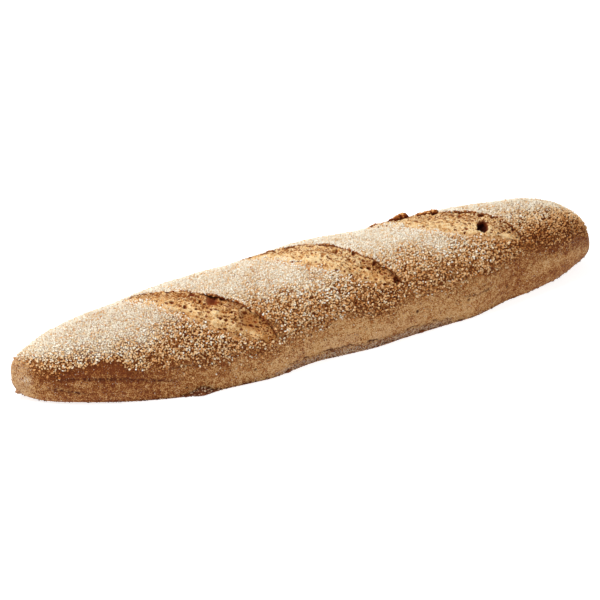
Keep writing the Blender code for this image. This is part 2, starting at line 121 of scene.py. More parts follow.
LIP_RAGGEDNESS = 0.0007
# Score, place along and across it, radius or reach along and across, depth
LARGE_PORES = (
    (2, 0.45, -0.22, 0.0045, 0.0055),
    (1, 0.90, 0.00, 0.0017, 0.0028),
    (0, 0.16, 0.46, 0.0022, 0.0016),
)
HOLLOWS = (
    (0, 0.55, 0.15, 0.0085, 0.0048, 0.0019),
    (1, 0.66, 0.10, 0.0060, 0.0040, 0.0012),
    (1, -0.35, -0.10, 0.0070, 0.0032, 0.0009),
    (2, -0.15, 0.05, 0.0065, 0.0035, 0.0010),
)
# Place along and across the right score, length, width, height
LIP_CRAGS = (
    (-0.83, 0.95, 0.0026, 0.0016, 0.0018),
    (-0.51, 1.00, 0.0050, 0.0024, 0.0038),
    (-0.22, 1.02, 0.0038, 0.0020, 0.0018),
    (-0.13, 1.00, 0.0040, 0.0024, 0.0032),
)
SIDE_WALL_ANGLE = math.radians(50)

# ---------------------------------------------------------------- finer forms of the looks
# The lower edge of the coating on the near side, and on the far side: t, angle in degrees
NEAR_EDGE = (
    (-1.0, -0.968, -0.925, -0.893, -0.859, -0.829, -0.787, -0.721, -0.657, -0.60, -0.478,
     -0.383, -0.286, -0.182, 0.028, 0.205, 0.390, 0.583, 0.788, 0.900, 1.0),
    (125, 145, 154, 161, 158, 155, 154, 161, 173, 173, 185,
     190, 189, 186, 183, 182, 179, 174, 170, 166, 150),
)
FAR_EDGE = (
    (-1.0, -0.95, -0.80, -0.62, -0.45, -0.25, -0.05, 0.15, 0.35, 0.60, 0.80, 0.93, 1.0),
    (60, 30, 24, 12, 8, 2, -2, 4, 1, 8, 14, 24, 45),
)
# How floury the coating is round the loaf: angle, share
FLOUR_ROUND = (
    (-20, 20, 50, 100, 125, 150, 175, 200), (0.30, 0.65, 0.94, 0.89, 0.64, 0.46, 0.40, 0.38),
)
# Where flour lies thicker or thinner: t, angle, reach along t, reach in degrees, amount
FLOUR_PATCHES = (
    (-0.80, 130, 0.12, 24, 0.12), (-0.70, 112, 0.12, 20, 0.12), (-0.64, 122, 0.07, 12, 0.10),
    (-0.67, 163, 0.05, 6, -0.08), (-0.62, 138, 0.05, 10, 0.14), (-0.88, 152, 0.04, 8, -0.12),
    (-0.42, 184, 0.12, 8, 0.22), (-0.53, 80, 0.08, 14, 0.20), (-0.23, 128, 0.05, 12, 0.16),
    (-0.05, 116, 0.06, 8, 0.14), (-0.04, 139, 0.06, 10, 0.16), (-0.14, 117, 0.09, 14, 0.14),
    (-0.007, 149, 0.012, 3, 0.60), (0.355, 121, 0.06, 9, 0.24), (0.270, 94, 0.09, 13, 0.22),
    (0.50, 140, 0.05, 7, 0.04), (0.76, 112, 0.10, 18, -0.03), (0.80, 80, 0.14, 30, -0.06),
    (-0.80, 148, 0.10, 10, 0.08), (-0.93, 118, 0.05, 16, 0.10), (-0.69, 148, 0.05, 8, 0.10),
    (-0.03, 127, 0.06, 8, 0.12), (-0.12, 132, 0.05, 8, 0.06), (-0.30, 112, 0.06, 10, 0.12),
    (0.42, 128, 0.08, 12, 0.10), (0.55, 149, 0.05, 8, -0.08), (0.04, 157, 0.05, 6, -0.06),
    (-0.96, 140, 0.05, 20, -0.04), (0.02, 142, 0.09, 14, -0.10), (-0.50, 147, 0.045, 8, -0.18),
    (0.20, 160, 0.30, 14, -0.08), (0.72, 150, 0.12, 26, -0.24), (0.90, 135, 0.12, 34, -0.27),
)
# How dark the crust is baked along the loaf: t, from pale tan (0) to chestnut (1)
BAKED_ALONG = (
    (-1.0, -0.93, -0.70, -0.35, 0.0, 0.40, 0.65, 0.80, 0.90, 1.0),
    (0.28, 0.52, 0.74, 0.39, 0.28, 0.30, 0.52, 0.60, 0.60, 0.58),
)
# Creases of the walls, each a run of t and angle, with its depth and width
CREASES = (
    ((-0.905, -0.84, -0.77, -0.70, -0.64, -0.58, -0.52), (172, 176, 180, 183, 187, 191, 194),
     0.00055, 0.0009),
    ((-0.93, -0.88, -0.83, -0.79), (187, 190, 196, 201), 0.00035, 0.0008),
    ((-0.60, -0.50, -0.40), (176, 180, 186), 0.00028, 0.0008),
    ((0.42, 0.50, 0.58), (186, 189, 187), 0.00030, 0.0008),
    ((-0.72, -0.60, -0.45, -0.33), (349, 344, 346, 351), 0.00045, 0.0009),
    ((0.15, 0.30, 0.42), (352, 347, 349), 0.00040, 0.0009),
    ((0.60, 0.70, 0.82), (341, 345, 342), 0.00035, 0.0008),
)
CREASE_FAR = 0.004
# The shaded line of the undercut, and the pale strip on the rim below it: from x to x, and
# the height of the strip
UNDERCUT_LINE = (-0.052, 0.090)
STRIP_SPAN = (-0.060, 0.095)
STRIP_HEIGHT = 0.0050
# Pin holes and blisters of the walls: t, angle, radius, height
WALL_SPOTS = (
    (0.272, 189, 0.0010, -0.0009), (0.450, 168, 0.0010, -0.0008), (0.460, 192, 0.0008, -0.0007),
    (-0.978, 181, 0.0026, 0.0006), (-0.905, 178, 0.0014, 0.0004), (-0.850, 170, 0.0016, 0.0004),
    (-0.700, 176, 0.0012, 0.0003), (-0.30, 200, 0.0009, -0.0007), (-0.52, 205, 0.0008, -0.0006),
    (0.62, 196, 0.0009, -0.0007), (-0.40, 340, 0.0009, -0.0008), (0.22, 345, 0.0010, -0.0008),
    (0.55, 332, 0.0016, 0.0004), (-0.10, 262, 0.0012, -0.0009), (0.35, 281, 0.0010, -0.0008),
    (-0.52, 274, 0.0011, -0.0008), (0.68, 255, 0.0009, -0.0007),
)
# Small open holes of each score's crumb: place along and across it in hundredths of its half
# length and half width, radius along and across in tenths of a millimetre
SMALL_HOLES = (
    ((-63, -44, 9, 7), (-51, -43, 13, 11), (-44, 43, 20, 12), (-40, -45, 13, 10),
     (-35, -33, 16, 17), (-29, 1, 12, 13), (-20, 25, 10, 9), (-19, -38, 13, 14),
     (-17, 36, 22, 12), (-7, -31, 16, 11), (-6, 14, 11, 14), (0, 5, 10, 11), (4, -12, 14, 10),
     (9, -15, 12, 9), (15, -8, 34, 6), (32, 6, 11, 10), (32, -75, 19, 10), (38, -9, 11, 12),
     (41, 40, 10, 8), (52, -22, 26, 6), (60, -15, 22, 9), (67, -7, 20, 8), (6, 34, 43, 34)),
    ((-42, -2, 10, 8), (-31, -40, 12, 10), (-23, -6, 10, 9), (-16, -26, 14, 11), (-8, -3, 9, 8),
     (5, -12, 11, 9), (13, 31, 11, 9), (23, -33, 11, 10), (29, 11, 10, 9), (32, 38, 15, 12),
     (36, -69, 10, 9), (45, -11, 13, 11), (53, -1, 21, 14), (57, 38, 16, 10), (67, 9, 10, 11),
     (86, 12, 19, 26)),
    ((-37, -35, 9, 7), (-30, 40, 18, 10), (-21, -21, 9, 8), (-14, 40, 16, 9), (-11, -51, 9, 8),
     (-4, -18, 11, 8), (2, -20, 9, 8), (9, -37, 10, 9), (14, -18, 10, 11), (17, 29, 17, 12),
     (24, -22, 10, 10), (24, -76, 11, 9), (29, -21, 13, 12), (34, 40, 12, 9), (60, -15, 9, 8),
     (66, 38, 11, 10), (73, -8, 13, 12), (80, -6, 13, 11), (83, 38, 15, 10), (42, 40, 30, 12),
     (56, 42, 24, 9), (-52, 40, 34, 12)),
)
# What differs from score to score, from left to right
PORE_COUNTS = (340, 310, 300)
FILM_AMOUNTS = (1.0, 0.40, 0.0)
TONE_DROPS = (0.24, 0.32, 0.08)
TONE_DROP_STARTS = (0.62, 0.35, 0.62)
TONE_OFFSETS = (0.09, -0.035, -0.05)
LEFT, MIDDLE, RIGHT = range(3)
# Cross-section of a lip: place across the score, height with the lip's share, height everywhere
LIP_ACROSS = (1.42, 1.22, 1.08, 0.99, 1.00, 1.12, 1.36)
LIP_HEIGHT = (0.0016, 0.00190, 0.0018, 0.0013, 0.0009, 0.0002, 0.0)
LIP_BASE = (-0.0004, 0.00005, 0.00015, 0.00010, -0.0003, -0.0007, -0.0011)
LIP_RAGGED = (0.0, 0.25, 0.8, 1.0, 0.9, 0.4, 0.0)
# How dark each row of a lip is: its darkly baked edge, with painted shade on the rows that turn
# under it
LIP_DARK_AND_SHADE = (0.0, 0.0, 0.20, 0.78, 0.92, 1.0, 1.0)
# The crags, in the order of LIP_CRAGS: where each starts, in its lengths, and how dark it is
CRAG_STARTS = (-1.20, -1.60, -1.95, -2.75)
CRAG_DARKS = (0.52, 0.50, 0.52, 0.62)
CRAG_LUMPS = 9
# Crumbs fused to the base rim: x, side of the loaf, radius, height over the base, how pale
RIM_CRUMBS = (
    (-0.1085, -1, 0.0022, 0.0, 0.12), (-0.1030, -1, 0.0017, 0.0, 0.10),
    (-0.1140, -1, 0.0015, 0.0, 0.16), (-0.2212, -1, 0.0020, 0.0010, 0.55),
    (-0.0420, -1, 0.0014, 0.0, 0.30), (0.0650, -1, 0.0013, 0.0, 0.30),
    (-0.0700, 1, 0.0018, 0.0, 0.30), (0.0900, 1, 0.0016, 0.0, 0.30),
)
SMALL_RIM_CRUMBS = 190
# How far the crust sinks under the crumb, and the height below which it counts as the base
FLOOR_DROP = 0.0026
FLAT = 0.0005

# Density of the crust's blank, the crumbs and the lips
STATIONS = 400
SEGMENTS = 158
END_CROWDING = 0.55
CRUMB_GRID = (352, 80)
LIP_COLUMNS = 520

# Half lengths of the scattered grains, long, wide and high, before their own size
GRIT_AXES = (0.00063, 0.00050, 0.00056)
SPECK_AXES = (0.00052, 0.00034, 0.00016)
RIM_BRAN_AXES = (0.00062, 0.00050, 0.00042)
BIT_AXES = (0.00086, 0.00056, 0.00046)
FLAKE_AXES = (0.00120, 0.00075, 0.00062)
GRIT_PITCH = 0.00112
SPECK_PITCH = 0.0034
BITS_PER_SCORE = 1300
FLAKES_PER_SCORE = 460
RIM_BRAN = 3300
RIM_BRAN_ROUND = 1500
# Tints at which one kind of grit gives way to the next
TOASTED_TO = 0.16
AMBER_TO = 0.38
GOLDEN_TO = 0.64


def clamped(value):
    return np.clip(value, 0.0, 1.0)


def smooth(value):
    """Rises smoothly from 0 to 1 as value does."""
    v = clamped(value)
    return v * v * (3.0 - 2.0 * v)


def after(value, start, width):
    """0 up to the start, rising smoothly to 1 over the width."""
    return smooth((value - start) / width)


def before(value, end, width):
    """1 until the width before the end, falling smoothly to 0 at it."""
    return smooth((end - value) / width)


def bell(*parts):
    """1 where each value is at its middle, falling off to 0 beyond its width."""
    return np.exp(-sum(((value - middle) / width) ** 2 for value, middle, width in parts))


def between(x, start, end):
    """1 well inside the start and the end, falling to 0 at them over 20 mm."""
    return after(x, start, 0.02) * before(x, end, 0.02)


def noise(points, cell, seed):
    """Smooth random bumps between -1 and 1, about one for each cell length."""
    p = np.asarray(points, dtype=float) / cell
    corner = np.floor(p).astype(np.int64)
    f = p - corner
    f = f * f * (3.0 - 2.0 * f)
    total = np.zeros(len(p))
    for step in np.ndindex(2, 2, 2):
        n = seed * 2654435761
        weight = 1.0
        for axis, prime in enumerate((73856093, 19349663, 83492791)):
            n = n ^ ((corner[:, axis] + step[axis]) * prime)
            weight = weight * (f[:, axis] if step[axis] else 1.0 - f[:, axis])
        n = n & 0xFFFFFFFF
        n = ((n ^ (n >> 15)) * 2246822519) & 0xFFFFFFFF
        n = ((n ^ (n >> 13)) * 3266489917) & 0xFFFFFFFF
        total += weight * ((n ^ (n >> 16)) / 2147483648.0 - 1.0)
    return total


def on_line(u, lane=0.0):
    """Places along a line as points, for the noise."""
    return np.stack([u, 0.0 * u, 0.0 * u + lane], axis=-1)


def of_score(rows, number):
    """The rows of a table that belong to one score."""
    return [row[1:] for row in rows if row[0] == number]


def unit_rows(rows):
    return rows / (np.linalg.norm(rows, axis=1, keepdims=True) + 1e-12)


def fall_off(t, peak, power, rounding):
    """1 at the peak, falling to 0 at both tips."""
    left = clamped((peak - t) / (1.0 + peak))
    right = clamped((t - peak) / (1.0 - peak))
    on_left = (1.0 - left ** power[0]) ** rounding[0]
    on_right = (1.0 - right ** power[1]) ** rounding[1]
    return np.where(t < peak, on_left, on_right)


def profile(t):
    """Half width, top, base, shoulder height, base share and sideways centre at t."""
    share = fall_off(t, WIDTH_PEAK, WIDTH_POWER, WIDTH_ROUNDING)
    rise = fall_off(t, HEIGHT_PEAK, HEIGHT_POWER, HEIGHT_ROUNDING)
    half_width = LOAF_WIDTH / 2.0 * share
    rightness = smooth(t + 0.5)
    tip = LEFT_TIP_HEIGHT + (RIGHT_TIP_HEIGHT - LEFT_TIP_HEIGHT) * rightness
    top = tip + (LOAF_HEIGHT - tip) * rise
    lift_start = LEFT_LIFT_START + (RIGHT_LIFT_START - LEFT_LIFT_START) * rightness
    lift = clamped(1.0 - share / lift_start)
    base = tip * (1.0 - np.sqrt(clamped(1.0 - lift ** 2)))
    shoulder = base + (top - base) * SHOULDER_SHARE
    base_share = TIP_BASE_SHARE + (BASE_SHARE - TIP_BASE_SHARE) * clamped(share / 0.9)
    centre = FOOTPRINT_CENTRE + (1.0 - t ** 2) * (SIDE_BEND + S_BEND * t + END_BEND * t ** 2)
    return half_width, top, base, shoulder, base_share, centre


def base_height(t):
    return profile(t)[2]


def plain_point(t, angle):
    """A point of the smooth loaf, on its dome, its near or far wall, or its base."""
    half_width, top, base, shoulder, base_share, centre = profile(t)
    angle = np.mod(angle, 2.0 * math.pi)
    cosine = np.cos(angle)
    dome_y = half_width * np.sign(cosine) * np.abs(cosine) ** 0.95
    dome_z = shoulder + (top - shoulder) * np.abs(np.sin(angle)) ** 0.97
    below = np.minimum(angle - math.pi, 2.0 * math.pi - angle)
    turn = clamped(below / SIDE_WALL_ANGLE) * math.pi / 2.0
    side = np.where(angle < 1.5 * math.pi, -1.0, 1.0)
    wall_y = side * half_width * (base_share + (1.0 - base_share) * np.cos(turn))
    wall_z = shoulder - (shoulder - base) * np.sin(turn)
    span = math.pi - 2.0 * SIDE_WALL_ANGLE
    across = (angle - math.pi - SIDE_WALL_ANGLE) / span * 2.0 - 1.0
    base_y = half_width * base_share * np.clip(across, -1.0, 1.0)
    y = np.where(angle <= math.pi, dome_y, np.where(below > SIDE_WALL_ANGLE, base_y, wall_y))
    z = np.where(angle <= math.pi, dome_z, wall_z)
    return np.stack([t * HALF_LENGTH, centre + y, z], axis=-1)


def girth_radius(t):
    """Radius that turns an angle over the dome into a length along the crust."""
    half_width, top, _, shoulder, _, _ = profile(t)
    return (half_width + top - shoulder) / 2.0


def girth_of(t, angle):
    """Length along the crust from the crest, positive on the far side."""
    angle = np.mod(angle, 2.0 * math.pi)
    folded = np.where(angle > 1.5 * math.pi, angle - 2.0 * math.pi, angle)
    return girth_radius(t) * (math.pi / 2.0 - folded)


def heading_of(score):
    """Cosine and sine of a score's slant on the unrolled crust."""
    slant = math.radians(score.slant)
    return math.cos(slant), math.sin(slant)


def bow_of(score, along):
    """How far a score's middle line bends towards its lip."""
    return score.bow * clamped(1.0 - np.abs(along / score.half_length) ** 2)


def in_score(score, x, girth):
    """Place along a score from its middle, and across it towards its lip, in metres."""
    cosine, sine = heading_of(score)
    dx = x - score.x
    dg = girth - score.girth
    along = dx * cosine + dg * sine
    return along, -dx * sine + dg * cosine - bow_of(score, along)


def score_to_crust(score, along, across):
    """t and angle on the crust of places in a score."""
    cosine, sine = heading_of(score)
    v = across + bow_of(score, along)
    t = (score.x + along * cosine - v * sine) / HALF_LENGTH
    girth = score.girth + along * sine + v * cosine
    return t, math.pi / 2.0 - girth / girth_radius(t)


def score_half_width(score, along):
    share = clamped(1.0 - np.abs(along / score.half_length) ** SCORE_POWER)
    flare = 1.0 + score.flare * along / score.half_length
    return np.maximum(score.half_width * flare * share ** SCORE_ROUNDING, SCORE_LEAST_WIDTH)


def score_strength(score, along):
    """1 over most of a score, fading to 0 at its ends."""
    return smooth((1.0 - np.abs(along / score.half_length)) / 0.22)


def lip_share(score, along):
    """How high the lip stands along a score, lowest at its left end."""
    rise = smooth((along / score.half_length + 0.5) / 0.9)
    return FAR_LIP_SHARE + (1.0 - FAR_LIP_SHARE) * rise


def wall_waves(x, waves):
    total = np.zeros(len(x))
    for middle, size, length in waves:
        total += size * bell((x, middle, length))
    return total


def wall_shape(point, t):
    """Sideways offset of the walls: their slow waves, the rim on the tray and the undercut."""
    half_width, _, base, _, _, centre = profile(t)
    sideways = (point[:, 1] - centre) / np.maximum(half_width, 0.001)
    near = clamped(-sideways) ** 1.5
    far = clamped(sideways) ** 1.5
    low = 1.0 - after(point[:, 2], 0.020, 0.026)
    x = point[:, 0]
    offset = low * (far * wall_waves(x, FAR_WAVES) - near * wall_waves(x, NEAR_WAVES))
    above = point[:, 2] - base
    flare = RIM_FLARE * (1.0 - smooth(above / RIM_HEIGHT))
    groove = UNDERCUT_DEPTH * between(x, *UNDERCUT_SPAN) * bell((above, UNDERCUT_HEIGHT, 0.0020))
    at_edge = after(np.abs(sideways), 0.75, 0.15)
    return offset + np.sign(sideways) * at_edge * (flare - groove)


def from_crease(t, degrees, places, angles):
    """How far round the wall a crease is, in metres, and how much of it there is."""
    middle = np.interp(t, places, angles)
    reach = after(t, places[0], 0.05) * before(t, places[-1], 0.05)
    x = t * HALF_LENGTH
    apart = np.radians(degrees - middle) * girth_radius(t) + 0.0006 * noise(on_line(x), 0.007, 31)
    broken = smooth(0.45 + 0.9 * noise(on_line(x, middle), 0.008, 32))
    return apart, reach * (0.15 + 0.85 * broken)


def wall_relief(t, angle):
    """Height of the creases, pin holes and blisters, and the painted shade in the creases and pin
    holes.
    """
    rise = np.zeros(len(t))
    dark = np.zeros(len(t))
    degrees = np.degrees(np.mod(angle, 2.0 * math.pi))
    for places, angles, depth, width in CREASES:
        apart, reach = from_crease(t, degrees, places, angles)
        groove = reach * bell((apart, 0.0, width))
        ridge = bell((apart, -2.0 * width, 1.6 * width))
        rise += reach * 0.45 * depth * ridge - depth * groove
        # painted shade along the bottom of each crease
        dark = np.maximum(dark, 0.7 * groove)
    for place, middle, size, height in WALL_SPOTS:
        round_wall = np.radians(degrees - middle) * girth_radius(t)
        bump = np.exp(-(np.hypot((t - place) * HALF_LENGTH, round_wall) / size) ** 4 * 0.7)
        rise += height * bump
        # painted shade inside the pin holes
        if height < 0:
            dark = np.maximum(dark, 1.6 * bump)
    return rise, dark


def surface(t, angle, cut=1.0, drop=0.0):
    """Points of the baked loaf, the normals of its smooth form, and how the points lie to the
    scores. With no cut the crust is whole; the drop sinks it under the crumb of the scores."""
    t = np.asarray(t, dtype=float)
    angle = np.asarray(angle, dtype=float)
    step_t = 0.002
    step_angle = 0.01
    inner = np.clip(t, -0.9985, 0.9985)
    point = plain_point(t, angle)
    ahead = plain_point(np.clip(inner + step_t, -1.0, 1.0), angle)
    behind = plain_point(np.clip(inner - step_t, -1.0, 1.0), angle)
    along = unit_rows(ahead - behind)
    around = plain_point(inner, angle - step_angle) - plain_point(inner, angle + step_angle)
    around = unit_rows(around)
    normal = unit_rows(np.cross(along, around))
    outward = smooth(point[:, 2] / 0.006) * before(np.abs(t), 1.0, 0.03)
    rise = SLOW_SWELL * noise(point, 0.034, 1) + HAND_DENTS * noise(point, 0.013, 2)
    rise = rise + wall_waves(point[:, 0], CREST_WAVES) * clamped(np.sin(angle)) ** 2
    grain = CRUST_GRAIN * noise(point, 0.0045, 3)
    shift = np.zeros((len(t), 3))
    girth = girth_of(t, angle)
    on_dome = np.mod(angle, 2.0 * math.pi) < math.pi * 1.08
    lies = {name: np.zeros(len(t)) for name in ("near", "u", "end")}
    lies["q"] = np.full(len(t), 9.0)
    for number, score in enumerate(SCORES):
        u, v = in_score(score, point[:, 0], girth)
        strength = score_strength(score, u) * on_dome
        half = score_half_width(score, u)
        lip = lip_share(score, u)
        q = v / half
        near = strength * ((q > CUT_FROM[0]) & (q < CUT_FROM[-1]))
        closer = near > lies["near"]
        found = {"near": near, "q": q, "u": u / score.half_length, "end": lip * strength}
        for name, values in found.items():
            lies[name] = np.where(closer, values, lies[name])
        near = near * cut
        moved = (np.interp(q, CUT_FROM, CUT_TO) - q) * half * near
        cosine, sine = heading_of(score)
        shift += moved[:, None] * (-sine * along + cosine * around)
        lifted = np.interp(q, CUT_FROM, CUT_RISE) + lip * np.interp(q, CUT_FROM, LIP_RISE)
        rise = rise + lifted * near
        torn = near * after(q, -1.0, 0.12) * before(q, 0.60, 0.15)
        tears = noise(np.stack([u / 1.8, v, 0.0 * u + number], axis=-1), 0.0042, 5)
        rise = rise + torn * (CRUMB_TEAR * tears + CRUMB_LUMPS * noise(point, 0.0026, 6))
        grain = grain * (1.0 - torn)
        for along_share, across_share, length, width, depth in of_score(HOLLOWS, number):
            middle = along_share * score.half_length
            rise = rise - near * depth * bell((u, middle, length), (v, across_share * half, width))
        if drop:
            inside = near * after(q, -0.98, 0.15) * before(q, 0.80, 0.15)
            deeper = np.zeros(len(t))
            for along_share, across_share, length, width in of_score(LARGE_PORES, number):
                du = (u - along_share * score.half_length) / (length + 0.0012)
                dv = (v - across_share * half) / (width + 0.0012)
                deeper = deeper + 1.3 * width * np.exp(-(du ** 2 + dv ** 2) ** 2)
            rise = rise - inside * (drop + deeper)
        ragged = near * after(q, 0.86, 0.1) * before(q, 1.5, 0.3)
        rise = rise + ragged * LIP_RAGGEDNESS * noise(on_line(u), 0.0055, 7 + number)
    relief, lies["dark"] = wall_relief(t, angle)
    baked = point + shift + normal * ((rise + grain + relief) * outward)[:, None]
    baked[:, 1] += wall_shape(point, t)
    baked[:, 2] = np.maximum(baked[:, 2], 0.0)
    baked[:, 2] -= np.where(point[:, 2] < FLAT, np.minimum(relief, 0.0), 0.0)
    baked[:, 1] += FOOTPRINT_SHIFT
    return baked, normal, lies


def seated(t, angle):
    """Points and true normals of the finished crust."""
    points, plain, _ = surface(t, angle)
    ahead, behind = (
        surface(np.clip(t + step, -0.999, 0.999), angle)[0] for step in (0.0016, -0.0016))
    left, right = (surface(t, angle + step)[0] for step in (-0.01, 0.01))
    normal = unit_rows(np.cross(ahead - behind, left - right))
    facing = np.einsum("ij,ij->i", normal, plain)
    return points, np.where(facing[:, None] < 0.3, plain, normal)


def folded_degrees(angle):
    """Angle in degrees, with the far wall below 0 and the near wall above 180."""
    degrees = np.degrees(np.mod(angle, 2.0 * math.pi))
    return np.where(degrees > 270.0, degrees - 360.0, degrees)


def smear(t, degrees):
    """Where the dough sank at the end of the left score and took no grits."""
    return bell((t, -0.235, 0.045), (degrees, 165.0, 9.0))


def coverage(t, angle, point):
    """How thickly the crust is coated, from 0 to 1, and how far inside the coating's edges."""
    degrees = folded_degrees(angle)
    waver = 6.0 * noise(point, 0.013, 61) + 4.0 * noise(point, 0.0045, 62)
    near_side = np.interp(t, *NEAR_EDGE) + waver - degrees
    far_side = degrees - np.interp(t, *FAR_EDGE) + 1.5 * waver + 9.0 * noise(point, 0.023, 59)
    inside = np.minimum(near_side, far_side)
    patches = 0.08 * noise(point, 0.010, 63) + 0.08 * noise(point, 0.0036, 64)
    fade = 8.0 + 16.0 * after(t, -0.62, 0.20) + 26.0 * before(t, -0.88, 0.06)
    fade = np.where(far_side < near_side, 34.0, fade)
    thick = smooth((inside + 4.0) / fade) * (1.0 + patches)
    thin_right = 1.0 - 0.15 * after(t, 0.70, 0.16)
    thin_tips = before(np.abs(t), 0.988, 0.03)
    low_left = before(t, -0.90, 0.05) * after(degrees, 120.0, 25.0)
    thin_tips = thin_tips * (1.0 - 0.45 * low_left)
    cover = thick * thin_right * thin_tips * (1.0 - 0.85 * smear(t, degrees))
    return clamped(cover), inside


def coarseness(t, degrees):
    """Where the grits lie loose, so that crust shows between them, painted darker there as shade.
    """
    near_side = after(degrees, 116.0, 26.0)
    return after(t, -0.62, 0.15) * before(t, 0.74, 0.18) * near_side


def flour_of(t, degrees, point):
    """How much of the coating is pale flour, from 0 to 1."""
    flour = np.interp(degrees, *FLOUR_ROUND)
    flour = flour + 0.05 * before(t, -0.25, 0.3) * after(degrees, 100.0, 30.0)
    flour = flour - np.where(t < 0.0, 0.06, 0.18) * after(np.abs(t), 0.88, 0.10)
    for place, middle, reach, spread, amount in FLOUR_PATCHES:
        flour = flour + amount * bell((t, place, reach), (degrees, middle, spread))
    flour = flour + 0.10 * noise(point, 0.015, 65) + 0.10 * noise(point, 0.005, 66)
    return np.clip(flour, 0.03, 0.98)


# ---------------------------------------------------------------- meshes
def mesh_piece(name, points, triangles, material, shade=False, **marks):
    """A mesh object from arrays, with a number for each vertex under each mark's name. The
    materials read the marks."""
    mesh = bpy.data.meshes.new(name)
    mesh.vertices.add(len(points))
    mesh.vertices.foreach_set("co", np.asarray(points, dtype=np.float32).ravel())
    mesh.loops.add(3 * len(triangles))
    mesh.loops.foreach_set("vertex_index", np.asarray(triangles, dtype=np.int32).ravel())
    mesh.polygons.add(len(triangles))
    starts = np.arange(0, 3 * len(triangles), 3, dtype=np.int32)
    mesh.polygons.foreach_set("loop_start", starts)
    mesh.update(calc_edges=True)
    mesh.polygons.foreach_set("use_smooth", np.full(len(triangles), shade))
    for mark, values in marks.items():
        layer = mesh.attributes.new(mark, "FLOAT", "POINT")
        layer.data.foreach_set("value", np.asarray(values, dtype=np.float32))
    obj = bpy.data.objects.new(name, mesh)
    obj.data.materials.append(material)
    bpy.context.scene.collection.objects.link(obj)
    return obj


def arrays_of(bm):
    """Points and triangles of a Blender mesh under construction, which is freed."""
    bm.verts.index_update()
    points = np.array([v.co[:] for v in bm.verts])
    triangles = np.array([[v.index for v in f.verts] for f in bm.faces])
    bm.free()
    return points, triangles


def in_order(points, triangles):
    """The same body with its points and triangles numbered by place, so alike in every run."""
    order = np.lexsort(points.T)
    triangles = np.argsort(order)[triangles]
    first = np.argmin(triangles, axis=1)[:, None]
    triangles = np.take_along_axis(triangles, (first + np.arange(3)) % 3, axis=1)
    return points[order], triangles[np.lexsort(triangles.T)]


def face_out(points, triangles):
    """The triangles, wound so that the closed body faces out."""
    a, b, c = (points[triangles[:, k]] for k in range(3))
    volume = np.einsum("ij,ij->i", a, np.cross(b, c)).sum()
    return triangles if volume > 0 else triangles[:, ::-1]


def place_of(direction):
    """t and angle of a point of the round blank that the crust is shaped from."""
    even = 1.0 - 2.0 * np.arccos(np.clip(direction[:, 2], -1.0, 1.0)) / math.pi
    t = (1.0 - END_CROWDING) * even + END_CROWDING * np.sin(even * math.pi / 2.0)
    return t, np.mod(np.arctan2(direction[:, 1], direction[:, 0]), 2.0 * math.pi)


def round_blank():
    """A ball's points and triangles, cut finer at the scores and the wall spots."""
    bm = bmesh.new()
    bmesh.ops.create_uvsphere(bm, u_segments=SEGMENTS, v_segments=STATIONS, radius=1.0)
    t, angle = place_of(unit_rows(np.array([f.calc_center_median()[:] for f in bm.faces])))
    girth = girth_of(t, angle)
    fine = np.zeros(len(t), dtype=bool)
    for score in SCORES:
        u, v = in_score(score, t * HALF_LENGTH, girth)
        reach = score.half_width * 1.75
        fine |= (np.abs(u) < score.half_length + 0.002) & (v > -reach * 0.85) & (v < reach)
    degrees = np.degrees(angle)
    for place, middle, size, _ in WALL_SPOTS:
        round_wall = np.radians(degrees - middle) * girth_radius(t)
        fine |= np.hypot((t - place) * HALF_LENGTH, round_wall) < size + 0.0015
    edges = list({edge for face, cut in zip(bm.faces, fine) if cut for edge in face.edges})
    bmesh.ops.subdivide_edges(bm, edges=edges, cuts=1, use_grid_fill=True)
    bmesh.ops.triangulate(bm, faces=bm.faces[:])
    bmesh.ops.recalc_face_normals(bm, faces=bm.faces[:])
    return in_order(*arrays_of(bm))


def build_crust(material):
    """The round blank, shaped into the crust and marked for its material."""
    ball, triangles = round_blank()
    t, angle = place_of(unit_rows(ball))
    points, _, lies = surface(t, angle, drop=FLOOR_DROP)
    near, q = lies["near"], lies["q"]
    cover, inside = coverage(t, angle, points)
    degrees = folded_degrees(angle)
    flour = flour_of(t, degrees, points)
    smeared = smear(t, degrees)
    clear = 1.0 - near * after(q, -1.12, 0.1) * before(q, 1.06, 0.08)
    clear = np.minimum(clear, 1.0 - smeared)
    tatter = 0.07 * noise(points, 0.0026, 77) + 0.05 * noise(points, 0.0012, 78)
    caking = 0.64 - 0.08 * before(t, -0.45, 0.10)
    # painted shade between the grits: darker crust where they lie loose and little flour covers it
    gaps = (0.32 + 0.18 * coarseness(t, degrees)) * cover * (1.20 - flour)
    lip = near * (1.0 - smeared) * after(q, 0.70, 0.15) * smooth((1.10 + tatter - q) / 0.06)
    crease_away, crease = creases(t, degrees, points)
    return mesh_piece(
        "crust", points, face_out(points, triangles), material, shade=True,
        crease_away=crease_away,
        crease=crease,
        film=smooth(1.4 * cover) * clear * smooth((flour - caking) / 0.34),
        # the toast mark here also holds the painted shade between the grits
        toast=clamped(toast(t, degrees, inside, points) + gaps),
        # painted shade of the creases and pin holes, with the darker line of the lowest rim
        dark=clamped(lies["dark"] + base_line(t, degrees, points)),
        lip=lip * (0.15 + 0.85 * smooth(1.6 * lies["end"])),
        border=near * bell((q, -1.02, 0.11)),
        dust=rim_dust(t, points, degrees),
    )


